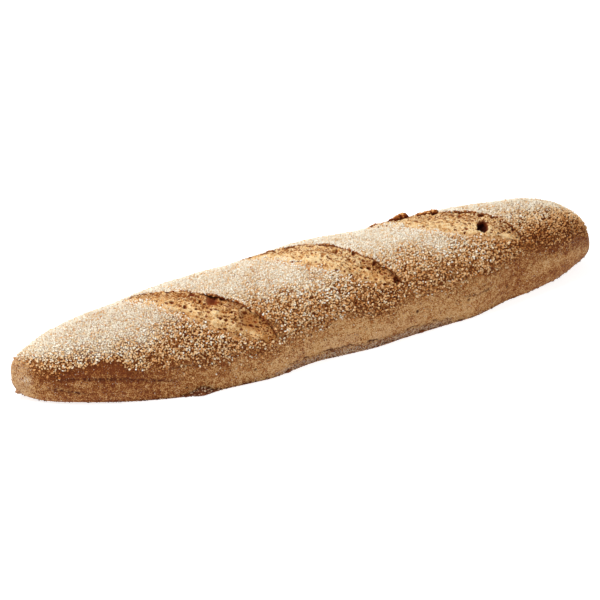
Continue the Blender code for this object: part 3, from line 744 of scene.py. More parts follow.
def toast(t, degrees, inside, point):
    """How dark the crust is baked, from pale tan (0) to chestnut (1)."""
    left = before(t, -0.59, 0.15) * after(t, -0.97, 0.08)
    left_end = 0.12 * bell((t, -0.925, 0.035), (degrees, 172.0, 12.0))
    under = bell((inside, -7.0, 11.0))
    band = after(t, 0.66, 0.10) * before(t, 0.955, 0.04) * bell((degrees, 184.0, 9.0))
    above = after(t, 0.60, 0.2) * before(degrees, 178.0, 10.0)
    above = above * after(degrees, 120.0, 30.0)
    x, z = point[:, 0], point[:, 2]
    low = 0.05 * before(z, 0.006, 0.006)
    low = low + 0.22 * between(x, *STRIP_SPAN) * before(z, STRIP_HEIGHT, 0.0012)
    mottle = 0.10 * noise(point, 0.016, 71) + 0.07 * noise(point, 0.006, 72)
    baked = np.interp(t, *BAKED_ALONG) + 0.38 * left * under - 0.26 * band + 0.10 * above
    return clamped(baked + left_end + low + mottle)


def base_line(t, degrees, point):
    """The darker line of the lowest rim."""
    above = point[:, 2] - base_height(t)
    return 0.22 * bell((above, 0.0, 0.0012)) * ((degrees > 180.0) | (degrees < 0.0))


def creases(t, degrees, point):
    """The undercut and the creases of the walls: how far away in mm, and how much painted shade
    lies in them.
    """
    x = point[:, 0]
    waver = 0.0008 * noise(on_line(x), 0.006, 73)
    broken = smooth(0.55 + 0.9 * noise(on_line(x), 0.0045, 76))
    # painted shade along the line of the undercut
    dark = between(x, *UNDERCUT_LINE) * broken * (degrees > 180.0) * (degrees < 236.0)
    above = point[:, 2] - base_height(t) - UNDERCUT_HEIGHT + waver
    away = np.where(dark > 0.0, above, CREASE_FAR)
    for places, angles, _, _ in CREASES:
        apart, reach = from_crease(t, degrees, places, angles)
        closer = (np.abs(apart) < np.abs(away)) & (t > places[0]) & (t < places[-1])
        away = np.where(closer, apart, away)
        dark = np.where(closer, 0.85 * reach, dark)
    return 1000.0 * np.clip(away, -CREASE_FAR, CREASE_FAR), dark


def rim_dust(t, point, degrees):
    """Pale flour that stays on the rim below the undercut and in patches of the base."""
    above = point[:, 2] - base_height(t)
    strip = 0.75 * between(point[:, 0], *STRIP_SPAN) * before(above, STRIP_HEIGHT, 0.0012)
    strip = strip * ((degrees > 180.0) & (degrees < 250.0))
    below = 0.45 * smooth(0.5 + 1.3 * noise(point, 0.018, 74)) * (np.abs(degrees - 270.0) < 44.0)
    below = below * (point[:, 2] < 0.004)
    blister = 0.9 * bell((t, -0.967, 0.010), (degrees, 175.0, 7.0))
    blister = blister + 0.30 * before(t, -0.945, 0.03)
    haze = 0.20 * bell((t, 0.02, 0.24)) * after(degrees, 186.0, 12.0) * (degrees < 250.0)
    haze = haze * smooth(0.5 + 1.2 * noise(point, 0.009, 79))
    return clamped(strip + below + blister + haze)


def grid_triangles(columns, rows, start=0):
    """Triangles of a grid of vertices, numbered row after row in each column."""
    i, j = np.meshgrid(np.arange(columns - 1), np.arange(rows - 1), indexing="ij")
    a = (i * rows + j).ravel() + start
    b = a + rows
    return quad_triangles(a, b, b + 1, a + 1)


def quad_triangles(a, b, c, d):
    return np.concatenate([np.stack([a, b, c], axis=1), np.stack([a, c, d], axis=1)])


def crumb_pores(rng, number):
    """Pores of a crumb: place along and across in metres, radii, depth."""
    score = SCORES[number]
    pores = []

    def half_at(u):
        return float(score_half_width(score, np.array([u]))[0])

    def add_pore(along, across, long_radius, wide_radius, depth, widening=0.0):
        u = along * score.half_length
        moved = float(np.interp(across, CUT_FROM, CUT_TO))
        wide_radius *= 1.0 + widening * float(after(moved, 0.25, 0.5))
        pores.append((u, moved * half_at(u), long_radius, wide_radius, depth))

    for along, across, long_radius, wide_radius in of_score(LARGE_PORES, number):
        add_pore(along, across, long_radius, wide_radius, 1.25 * wide_radius)
    for along, across, long_radius, wide_radius in SMALL_HOLES[number]:
        wide = wide_radius / 10000.0
        depth = min(1.3 * wide, 0.0015)
        add_pore(along / 100.0, across / 100.0, long_radius / 10000.0, wide, depth, 0.8)
    tries = 0
    while len(pores) < PORE_COUNTS[number] and tries < 9000:
        tries += 1
        u = rng.uniform(-0.93, 0.93) * score.half_length
        share = rng.uniform(-0.86, 1.02)
        if rng.random() > 0.08 + 0.92 * after(share, -0.35, 1.1):
            continue
        radius = 0.00040 + 0.00076 * rng.random() ** 2.4
        stretch = rng.uniform(1.0, 2.0)
        w = share * half_at(u)
        clear = 1.2 * radius
        if all((u - p[0]) ** 2 + (w - p[1]) ** 2 > (0.95 * (clear + p[2])) ** 2 for p in pores):
            pores.append((u, w, radius * stretch, radius, radius * rng.uniform(0.6, 1.0)))
    return pores


def crumb_underside(top, normal):
    """Rows under the crumb and the triangles that close it: its middle and borders, sunk."""
    columns, rows = CRUMB_GRID
    first = np.arange(columns) * rows
    sunk = ((0, 0.002), (rows // 2, 0.0075), (rows - 1, 0.0015))
    below = [top[first + row] - normal[first + row] * depth for row, depth in sunk]
    low = len(top) + first // rows * 3
    triangles = [grid_triangles(columns, rows), grid_triangles(columns, 3, len(top))[:, ::-1]]
    for upper, under, turn in ((first, low, 1), (first + rows - 1, low + 2, -1)):
        a, b, c, d = upper[:-1], upper[1:], under[1:], under[:-1]
        skirt = np.concatenate([np.stack([a, c, b], axis=1), np.stack([a, d, c], axis=1)])
        triangles.append(skirt[:, ::turn])
    for column, turn in ((0, 1), (columns - 1, -1)):
        edge = column * rows + np.arange(rows)
        under = low[column] + np.minimum(np.arange(rows) * 3 // rows, 2)
        side = quad_triangles(edge[:-1], edge[1:], under[1:], under[:-1])
        a, b, c = side.T
        triangles.append(side[(a != b) & (b != c) & (a != c)][:, ::turn])
    return np.stack(below, axis=1).reshape(-1, 3), np.concatenate(triangles)


def build_crumb(number, name, material):
    """The torn crumb of one opened score, closed underneath inside the loaf."""
    score = SCORES[number]
    rng = np.random.default_rng(SEED + number)
    columns, rows = CRUMB_GRID
    share = np.linspace(-0.985, 0.985, columns)
    across = np.linspace(-1.14, 1.135, rows)
    share, across = (a.ravel() for a in np.meshgrid(share, across, indexing="ij"))
    u = share * score.half_length
    half = score_half_width(score, u)
    q = np.interp(across, CUT_TO[:7], CUT_FROM[:7])
    points, normal, _ = surface(*score_to_crust(score, u, q * half))
    w = across * half
    flat = np.stack([u, w, 0.0 * u + 0.31 * number], axis=-1)
    height = np.zeros(len(u))
    pit_shade = np.zeros(len(u))
    bent_u = u + 0.00045 * noise(flat, 0.0014, 84)
    bent_w = w + 0.00045 * noise(flat, 0.0014, 85)
    uneven = noise(flat, 0.0024, 90)
    for pu, pw, long_radius, wide_radius, depth in crumb_pores(rng, number):
        gap = np.sqrt(((bent_u - pu) / long_radius) ** 2 + ((bent_w - pw) / wide_radius) ** 2)
        if depth > 0.004:
            gap = gap * (1.0 + 0.12 * uneven)
        sunk = clamped(1.0 - gap ** 2.6)
        hole = depth * sunk ** 0.7
        height += np.minimum(0.10 * depth * bell((gap, 1.15, 0.22)), 0.00012) - hole
        within = sunk ** (0.5 if depth < 0.004 else 0.15)
        # painted shade in each pore, darker the deeper it is
        pit_shade = np.maximum(pit_shade, within * (0.75 + 0.45 * hole / 0.0013))
    film = np.zeros(len(u))
    for along_share, across_share, length, width, depth in of_score(HOLLOWS, number):
        if depth > 0.0011:
            gap = ((u - along_share * score.half_length) / (1.15 * length)) ** 2
            gap = gap + ((q - across_share + 0.12) * half / width) ** 2
            film = np.maximum(film, FILM_AMOUNTS[number] * np.exp(-(gap / 0.8) ** 2))
    if number == LEFT:
        film = np.maximum(film, 0.50 * after(share, 0.68, 0.14))
    rough = after(across, -0.97, 0.30) * (1.0 - 0.75 * film)
    twisted = flat * (0.70, 1.0, 1.0) + 0.0008 * noise(flat, 0.0030, 86)[:, None]
    strands = 1.0 - 2.2 * np.abs(noise(twisted, 0.0026, 81))
    clods = noise(twisted, 0.0034, 82)
    crumbs = 1.0 - 2.0 * np.abs(noise(flat, 0.0013, 87))
    fine = noise(flat, 0.0008, 83)
    height += rough * (0.00042 * strands + 0.00048 * clods + 0.00020 * crumbs + 0.00012 * fine)
    height += 0.00006 * fine
    # Under the lip the crumb stands higher, but for the mouth of the left score
    deep = 0.75 * bell((share, 0.03, 0.08)) if number == LEFT else 0.0
    risen = 0.0009 * bell((share, 0.03, 0.14)) if number == MIDDLE else 0.0
    at_lip = after(across, 0.55, 0.40) * (1.0 - deep) * score_strength(score, u)
    height += (0.0019 + risen) * at_lip
    sink = 0.0013 * (1.0 - after(across, -1.12, 0.17))
    sink = np.maximum(sink, 0.0013 * after(np.abs(share), 0.90, 0.08))
    top = points + normal * (height - sink)[:, None]
    solid = (pit_shade < 0.10) & (np.abs(across) < 0.98) & (np.abs(share) < 0.93) & (film < 0.4)
    # painted light and shade of the bits: paler where the crumb stands high, darker towards its far
    # half
    bit_shade_and_tone = 0.5 + 0.3 * clods + 0.3 * strands - 0.5 * after(across, -0.4, 1.3)
    skins.append((top[solid], normal[solid], bit_shade_and_tone[solid]))
    below, triangles = crumb_underside(top, normal)
    body = np.concatenate([top, below])
    torn = noise(flat * (0.6, 1.0, 1.0), 0.0034, 88) + 0.6 * noise(flat, 0.0016, 89)
    lip = lip_share(score, u)
    broken = smooth(0.55 + 1.2 * noise(flat * (1.0, 0.0, 0.0) + 0.01 * number, 0.0021, 98))
    shaded = smooth((across - 0.98 + 0.10 * torn) / 0.07) * (0.15 + 0.85 * lip)
    shaded = shaded * (0.3 + 0.7 * broken) * calm_at(number, share)
    # painted shadow cast by the lip over the crumb below it, with dark blotches over the far half
    lip_shadow_and_blotches = smooth((across - 0.88 + 0.16 * torn) / 0.16) * (0.10 + 0.60 * lip)
    blotch = 0.60 * after(across, -0.10, 0.9) * after(torn, 0.30, 0.22)
    lip_shadow_and_blotches = np.maximum(lip_shadow_and_blotches, blotch * (0.3 + 0.7 * after(share, -0.5, 0.5)))
    # painted light and shade following the crumb's relief: paler on its strands and clods, darker
    # in the hollows between them
    tone = 0.68 + 0.18 * clods * rough + 0.26 * np.minimum(strands, 0.4) * rough
    tone = tone + 0.12 * np.minimum(crumbs, 0.4) * rough
    tone = tone - TONE_DROPS[number] * smooth((share - TONE_DROP_STARTS[number]) / 0.25)
    tone = tone - TONE_OFFSETS[number] + 0.16 * before(share, -0.40, 0.25)
    marks = {
        "pore_shade": np.clip(pit_shade, 0.0, 2.0),
        "film": film,
        "under": lip_shadow_and_blotches,
        "shaded": shaded,
        "border": bell((across + 0.10 * clods, -0.88, 0.17)),
        "tone": clamped(tone),
        # painted shade over the far half of the crumb, under the lip
        "far": after(across, -0.5, 1.3),
    }
    pad = np.zeros(len(below))
    marks = {mark: np.concatenate([values, pad]) for mark, values in marks.items()}
    return mesh_piece(name, body, face_out(body, triangles), material, shade=True, **marks)


def calm_at(number, share):
    """Less than 1 where the middle score's lip lies quietly."""
    return 1.0 - 0.8 * (number == MIDDLE) * bell((share, 0.02, 0.15))


def build_lip(number, name, material):
    """The thin torn edge of crust over one score."""
    score = SCORES[number]
    columns, rows = LIP_COLUMNS, len(LIP_ACROSS)
    share = np.linspace(-0.955, 0.97, columns)
    u = share * score.half_length
    line = on_line(u, number)
    tear = 1.1 * noise(line, 0.0062, 91) + 0.75 * noise(line, 0.0026, 92)
    tear = tear + 0.45 * noise(line, 0.0011, 93)
    lift = noise(line, 0.0040, 94) + 0.6 * noise(line, 0.0017, 95)
    points = np.zeros((columns, rows, 3))
    dark = np.zeros((columns, rows))
    flour = np.zeros((columns, rows))
    half = score_half_width(score, u)
    strength = score_strength(score, u)
    if number == LEFT:
        strength = strength * (1.0 - after(share, 0.66, 0.14))
    lip = lip_share(score, u)
    calm = calm_at(number, share)
    for row in range(rows):
        place = LIP_ACROSS[row] * half - 0.0007 * LIP_RAGGED[row] * tear * (0.4 + 0.6 * lip)
        t, angle = score_to_crust(score, u, place)
        carrier, normal, _ = surface(t, angle, cut=0.0)
        ragged = LIP_RAGGED[row] * (0.25 + 0.75 * lip) * 0.00045 * lift
        height = strength * (lip * LIP_HEIGHT[row] + ragged) + LIP_BASE[row]
        height = height - 0.0009 * (1.0 - strength) - 0.0006 * (1.0 - lip) * (row < 2)
        points[:, row] = carrier + normal * height[:, None]
        dots = 0.35 * LIP_RAGGED[row] * (tear + 1.2 * noise(line, 0.0015, 97))
        dots = dots * (0.4 + 0.6 * calm)
        # the darkly baked edge with painted shade on the rows under it, broken by dark dots
        dark[:, row] = clamped(LIP_DARK_AND_SHADE[row] * (0.30 + 0.70 * lip) * calm + dots)
        flour[:, row] = flour_of(t, folded_degrees(angle), carrier)
    points = points.reshape(-1, 3)
    first = np.arange(columns) * rows
    a, b = first[:-1], first[1:]
    c, d = b + rows - 1, a + rows - 1
    triangles = [grid_triangles(columns, rows)]
    triangles += [np.stack([a, c, b], axis=1), np.stack([a, d, c], axis=1)]
    for start, turn in ((0, 1), (first[-1], -1)):
        fan = [[start, start + k, start + k + 1] for k in range(1, rows - 1)]
        triangles.append(np.array(fan)[:, ::turn])
    return mesh_piece(
        name, points, face_out(points, np.concatenate(triangles)), material, shade=True,
        dark=dark.ravel(), flour=flour.ravel(),
    )


def icosphere(detail):
    bm = bmesh.new()
    bmesh.ops.create_icosphere(bm, subdivisions=detail, radius=1.0)
    return arrays_of(bm)


def frames_on(normal, heading):
    """Three axes for each place: two across its normal, the first near the heading, and it."""
    first = unit_rows(heading - normal * np.einsum("ij,ij->i", heading, normal)[:, None])
    return np.stack([first, np.cross(normal, first), normal], axis=1)


def scattered(name, shape, places, frames, axes, material, tint):
    """One piece of many small bodies: each is a shape, stretched, turned and set at its place."""
    shapes, triangles = shape
    count = len(places)
    local = shapes[np.arange(count) % len(shapes)] * axes[:, None, :]
    points = np.einsum("nvk,nkc->nvc", local, frames) + places[:, None, :]
    points[:, :, 2] = np.maximum(points[:, :, 2], 0.0)
    size = shapes.shape[1]
    faces = triangles[None, :, :] + (np.arange(count) * size)[:, None, None]
    points, faces = points.reshape(-1, 3), faces.reshape(-1, 3)
    return mesh_piece(name, points, faces, material, tint=np.repeat(tint, size))


def chip_shapes(rng, variants):
    """Broken grains: eight corners pushed about, twelve facets."""
    corners = np.array([[x, y, z] for z in (-1, 1) for y in (-1, 1) for x in (-1, 1)], dtype=float)
    corners[:, :2] *= np.where(corners[:, 2:] > 0, 0.62, 0.86)
    corners[:, 2] *= 0.85
    faces = ((0, 2, 3), (0, 3, 1), (4, 5, 7), (4, 7, 6), (0, 1, 5), (0, 5, 4),
             (2, 6, 7), (2, 7, 3), (0, 4, 6), (0, 6, 2), (1, 3, 7), (1, 7, 5))
    return corners[None] + rng.uniform(-0.30, 0.30, (variants, 8, 3)), np.array(faces)


def pebble_shapes(rng, variants):
    """Rounder grains: a twenty-faced ball with its corners pushed about."""
    points, faces = icosphere(1)
    return points[None] * rng.uniform(0.74, 1.18, (variants, len(points), 1)), faces


def build_bits(rng, material):
    """Torn bits of crumb that stand up from the open scores."""
    found = []
    for skin in skins:
        chosen = rng.choice(len(skin[0]), BITS_PER_SCORE, replace=False)
        found.append([values[chosen] for values in skin])
    places, normals, tones_and_shade = (np.concatenate(values) for values in zip(*found))
    count = len(places)
    axes = np.outer(0.40 + 0.60 * rng.random(count) ** 1.6, BIT_AXES)
    axes *= rng.uniform(0.75, 1.25, (count, 3))
    tilt = unit_rows(normals + 0.45 * rng.normal(size=(count, 3)))
    frames = frames_on(tilt, rng.normal(size=(count, 3)))
    places = places + normals * (axes[:, 2] * 0.25)[:, None]
    # the tints carry the painted light and shade of the crumb below, with random tone
    tint = clamped(tones_and_shade + rng.uniform(-0.28, 0.28, count))
    return scattered("crumb_bits", pebble_shapes(rng, 24), places, frames, axes, material, tint)


def build_flakes(rng, material):
    """Small torn flakes of crust along the lips of the scores."""
    found = []
    for number, score in enumerate(SCORES):
        u = rng.uniform(-0.93, 0.95, FLAKES_PER_SCORE) * score.half_length
        thick = smooth(0.55 + 0.9 * noise(on_line(u, number), 0.0042, 96))
        across = 1.05 + 0.045 * rng.normal(size=FLAKES_PER_SCORE)
        keep = rng.random(FLAKES_PER_SCORE) < 0.25 + 0.75 * thick
        u, across, thick = u[keep], across[keep], thick[keep]
        size = (0.40 + 0.60 * rng.random(len(u)) ** 1.5) * (0.65 + 0.50 * thick)
        tint = 0.28 + 0.26 * rng.normal(size=len(u)) + 2.0 * (across - 1.05)
        place = score_to_crust(score, u, across * score_half_width(score, u))
        found.append((*place, size, clamped(tint)))
    t, angle, size, tint = (np.concatenate(values) for values in zip(*found))
    points, normal = seated(t, angle)
    axes = np.outer(size, FLAKE_AXES)
    axes *= rng.uniform(0.75, 1.25, axes.shape)
    heading = np.tile((0.85, -0.5, 0.0), (len(t), 1)) + 0.5 * rng.normal(size=axes.shape)
    frames = frames_on(unit_rows(normal + 0.35 * rng.normal(size=axes.shape)), heading)
    places = points + normal * (axes[:, 2] * 0.35)[:, None]
    return scattered("lip_flakes", pebble_shapes(rng, 24), places, frames, axes, material, tint)


def crust_places(rng, pitch, low, high):
    """Places spread evenly over a band of the crust between two angles in degrees."""
    t = np.linspace(-0.999, 0.999, 4000)
    crest = plain_point(t, np.full(len(t), math.pi * 0.6))
    steps = np.linalg.norm(np.diff(crest, axis=0), axis=1)
    length = np.concatenate([[0.0], np.cumsum(steps)])
    stations = np.interp(np.arange(pitch / 2.0, length[-1], pitch), length, t)
    t, angle = [], []
    for station in stations:
        girth = float(girth_radius(np.array([station]))[0]) * math.radians(high - low)
        count = max(3, round(girth / pitch))
        cell = (np.arange(count) + rng.uniform(0.0, 1.0, count)) / count
        angle.append(np.radians(low + cell * (high - low)))
        moved = station + rng.uniform(-0.5, 0.5, count) * pitch / HALF_LENGTH
        t.append(np.clip(moved, -0.998, 0.998))
    return np.concatenate(t), np.concatenate(angle)


def build_coat(rng):
    """The coating: grits by kind, set where the crust is coated and never on the crumb."""
    t, angle = crust_places(rng, GRIT_PITCH, -22.0, 202.0)
    points, _, lies = surface(t, angle)
    cover, inside = coverage(t, angle, points)
    q = lies["q"]
    ragged = 0.16 * noise(points, 0.0052, 67)
    limit = np.interp(lies["u"], (-1.0, -0.75, -0.45, 0.0, 1.0), (0.30, -0.30, -0.62, -0.84, -0.84))
    front = smooth((limit + ragged - q) / 0.34 + 0.5)
    tatter = 0.09 * noise(points, 0.0026, 77) + 0.05 * noise(points, 0.0012, 78)
    lip = smooth((q - 1.07 - tatter) / 0.05)
    clear = np.where((lies["near"] > 0.12) & (np.abs(q) < 1.5), np.maximum(front, lip), 1.0)
    degrees = folded_degrees(angle)
    bare = smooth((flour_of(t, degrees, points) - 0.50) / 0.35)
    coarse = coarseness(t, degrees)
    gaps = noise(points, 0.0017, 68) + 0.5 * noise(points, 0.0029, 69)
    cover = cover * (1.0 - (0.50 - 0.25 * bare) * after(gaps, 0.20, 0.30))
    cover = cover * (1.0 - 0.12 * coarse)
    stray = (0.06 + 0.34 * bell((t, -0.915, 0.035))) * after(inside, -18.0, 14.0)
    keep = rng.random(len(t)) < np.maximum(cover, stray) * clear * (np.abs(t) < 0.985)
    t, angle, inside, coarse = t[keep], angle[keep], inside[keep], coarse[keep]
    points, normal = seated(t, angle)
    count = len(t)
    degrees = folded_degrees(angle)
    flour = flour_of(t, degrees, points) - 0.35 * before(inside, 2.0, 14.0)
    flour = flour - 0.30 * bell((t, -0.93, 0.05)) * before(inside, 4.0, 6.0)
    fringe = before(inside, 13.0, 16.0) * after(t, -0.20, 0.12)
    fringe = fringe * after(degrees, 100.0, 20.0)
    flour = flour - 0.03 * coarse - 0.10 * fringe
    caked = after(flour, 0.66, 0.30)
    size = rng.uniform(0.72, 1.0, count) + 0.42 * rng.random(count) ** 4
    size = (size - 0.08 * caked + 0.10 * coarse) * (1.0 - 0.22 * fringe)
    axes = np.outer(size, GRIT_AXES)
    axes *= rng.uniform(0.80, 1.20, (count, 3))
    heading = rng.normal(size=(count, 3))
    frames = frames_on(unit_rows(normal + 0.28 * rng.normal(size=(count, 3))), heading)
    places = points + normal * (axes[:, 2] * (0.95 - 0.45 * caked) + 0.00008)[:, None]
    spread = 0.18 - 0.05 * caked + 0.07 * coarse - 0.05 * after(t, 0.60, 0.15)
    tint = flour + spread * rng.normal(size=count) - 0.40 * (rng.random(count) < 0.05)
    chips = chip_shapes(rng, 24)
    pebbles = pebble_shapes(rng, 24)
    made = []
    for name, shape, low, high, least in (
        ("grits_floury", chips, GOLDEN_TO, 1.0, GOLDEN_TO),
        ("grits_golden", chips, AMBER_TO, GOLDEN_TO, AMBER_TO),
        ("grits_amber", chips, TOASTED_TO, AMBER_TO, TOASTED_TO),
        ("grits_toasted", pebbles, -0.1, TOASTED_TO, -math.inf),
    ):
        most = math.inf if name == "grits_floury" else high
        kind = (tint > least) & (tint <= most)
        shade = clamped((tint[kind] - low) / (high - low))
        rows = places[kind], frames[kind], axes[kind]
        made.append(scattered(name, shape, *rows, grain_look(name), shade))
    return made


def build_specks(rng):
    """Fine bran on the walls and the base."""
    t, angle = crust_places(rng, SPECK_PITCH, 150.0, 392.0)
    keep = rng.random(len(t)) < 0.55
    points, normal = seated(t[keep], angle[keep])
    count = len(points)
    axes = np.outer(rng.uniform(0.5, 1.0, count), SPECK_AXES)
    frames = frames_on(normal, rng.normal(size=(count, 3)))
    places = points + normal * (axes[:, 2] * 0.3)[:, None]
    places[:, 2] = np.maximum(places[:, 2], 0.00012)
    shapes = chip_shapes(rng, 12)
    look = grain_look("bran_specks")
    return scattered("bran_specks", shapes, places, frames, axes, look, rng.random(count))


def build_rim_bran(rng, material):
    """Bran on the rim, thick on the near side's strip where the dough tore off the tray."""
    t = rng.uniform(-0.985, 0.985, RIM_BRAN)
    t[RIM_BRAN_ROUND:] = rng.uniform(-0.20, 0.40, RIM_BRAN - RIM_BRAN_ROUND)
    strip = np.arange(RIM_BRAN) >= RIM_BRAN_ROUND
    side = rng.random(RIM_BRAN) < np.where(strip, 1.0, 0.55)
    lower = rng.uniform(np.where(strip, 0.60, 0.80), 1.0, RIM_BRAN) * SIDE_WALL_ANGLE
    angle = np.where(side, math.pi + lower, 2.0 * math.pi - lower)
    clumps = noise(np.stack([t * HALF_LENGTH, side * 1.0, 0 * t], axis=-1), 0.012, 75)
    keep = rng.random(RIM_BRAN) < 0.35 + 0.65 * smooth(0.5 + clumps)
    points, normal = seated(t[keep], angle[keep])
    strip = strip[keep]
    count = len(points)
    size = (0.50 + 0.90 * rng.random(count) ** 2) * np.where(strip, 0.80, 1.0)
    axes = np.outer(size, RIM_BRAN_AXES)
    frames = frames_on(normal, rng.normal(size=(count, 3)))
    places = points + normal * (axes[:, 2] * 0.5)[:, None]
    places[:, 2] = np.maximum(places[:, 2], axes[:, 0])
    shapes = pebble_shapes(rng, 16)
    tint = rng.random(count) ** np.where(strip, 0.9, 2.5)
    return scattered("rim_bran", shapes, places, frames, axes, material, tint)


def lump_points(detail, place, axes, turn, roughness, seed):
    """One uneven lump with a torn skin."""
    points, triangles = icosphere(detail)
    bumps = 1.0 + roughness * noise(points + seed * 7.31, 0.8, seed)
    bumps = bumps + 0.20 * (1.0 - 2.2 * np.abs(noise(points + seed * 3.1, 0.50, seed + 1)))
    bumps = bumps + 0.13 * (1.0 - 2.0 * np.abs(noise(points + seed * 1.7, 0.22, seed + 2)))
    local = points * bumps[:, None] * np.asarray(axes)[None, :]
    return local @ turn + place, triangles, bumps


def joined(name, lumps, material, mark):
    """One piece of many lumps, each with its points, triangles and marks."""
    points, triangles, marks = zip(*lumps)
    starts = np.cumsum([0] + [len(found) for found in points[:-1]])
    faces = np.concatenate([faces + start for faces, start in zip(triangles, starts)])
    values = {mark: np.concatenate(marks)}
    return mesh_piece(name, np.concatenate(points), faces, material, shade=True, **values)


def build_crags(material):
    """The four crags of torn crust on the skyline of the right score, with painted light on their
    tops and painted shade on their fronts and in their hollows.
    """
    rng = np.random.default_rng(SEED + 41)
    score = SCORES[RIGHT]
    lumps = []
    for number, (along, across, length, width, height) in enumerate(LIP_CRAGS):
        u = np.array([along * score.half_length])
        t, angle = score_to_crust(score, u, across * 1.1 * score_half_width(score, u))
        place, normal, _ = surface(t, angle)
        turn = frames_on(normal, np.array([[*heading_of(score), 0.0]]))[0]
        start = CRAG_STARTS[number]
        for part in range(CRAG_LUMPS):
            share = part / (CRAG_LUMPS - 1.0)
            rise = 0.25 + 0.75 * min(share / 0.78, 1.0) - 1.6 * max(share - 0.84, 0.0)
            offset = ((0.55 - start) * share + start, 0.45 * rng.normal(), 0.72 * rise - 0.22)
            axes = np.array((0.40 * length, 0.75 * width, 0.50 * height))
            axes = axes * rng.uniform(0.8, 1.15, 3)
            centre = place[0] + (np.array(offset) * (length, width, height)) @ turn
            seed = 20 + 11 * number + part
            found, faces, bumps = lump_points(3, centre, axes, turn, 0.34, seed)
            # painted light on the crag tops, painted shade on their front sides and in the hollows
            # between their bumps
            upward = (found - centre) @ normal[0] / axes[2]
            ahead = clamped(-(found - centre) @ turn[1] / axes[1])
            dark = CRAG_DARKS[number] - 0.48 * upward + ahead * (0.55 - 0.25 * share)
            dark = dark + 0.9 * (1.0 - bumps) + 0.15 * rng.normal()
            dark = dark + 0.40 * noise(found, 0.0014, 99)
            lumps.append((found, faces, clamped(dark)))
    return joined("lip_crags", lumps, material, "dark")


def build_rim_crumbs(rng, material):
    """The crumbs fused to the rim, and a clump of small ones round the darkest of them."""
    lumps = []
    crumbs = [(*crumb, 3) for crumb in RIM_CRUMBS]
    for _ in range(SMALL_RIM_CRUMBS):
        pale = rng.uniform(0.65, 0.95) if rng.random() < 0.22 else 0.28 * rng.random()
        place = -0.1062 + rng.normal() * 0.0056
        radius = rng.uniform(0.0003, 0.0006) if pale > 0.5 else rng.uniform(0.0006, 0.0012)
        crumbs.append((place, -1, radius, 0.0, pale, 1))
    for number, (x, side, radius, lift, pale, detail) in enumerate(crumbs):
        lower = 0.97 * SIDE_WALL_ANGLE
        angle = math.pi + lower if side < 0 else 2.0 * math.pi - lower
        place, _, _ = surface(np.array([x / HALF_LENGTH]), np.array([angle]))
        ridge = 0.0 if detail == 3 else 0.0004 + 0.0025 * bell((x, -0.1070, 0.0066))
        if detail == 1 and pale > 0.5:
            ridge += 0.0006
        turn = rng.uniform(-0.6, 1.4)
        place = place[0] + (0.0, side * ridge * math.cos(turn), ridge * (0.7 + math.sin(turn)))
        place[2] = max(place[2], radius * 0.9) + lift
        axes = (radius * 1.25, radius, radius * 0.8)
        found, faces, _ = lump_points(detail, place, axes, np.eye(3), 0.2, 30 + number)
        found[:, 2] = np.maximum(found[:, 2], 0.0)
        lumps.append((found, faces, np.full(len(found), pale)))
    return joined("rim_crumbs", lumps, material, "tint")


# ---------------------------------------------------------------- materials
def colour(red, green, blue):
    """A display colour, 0 to 255, as the linear colour that a shader takes."""
    shares = [c / 255.0 for c in (red, green, blue)]
    return [s / 12.92 if s <= 0.04045 else ((s + 0.055) / 1.055) ** 2.4 for s in shares] + [1.0]


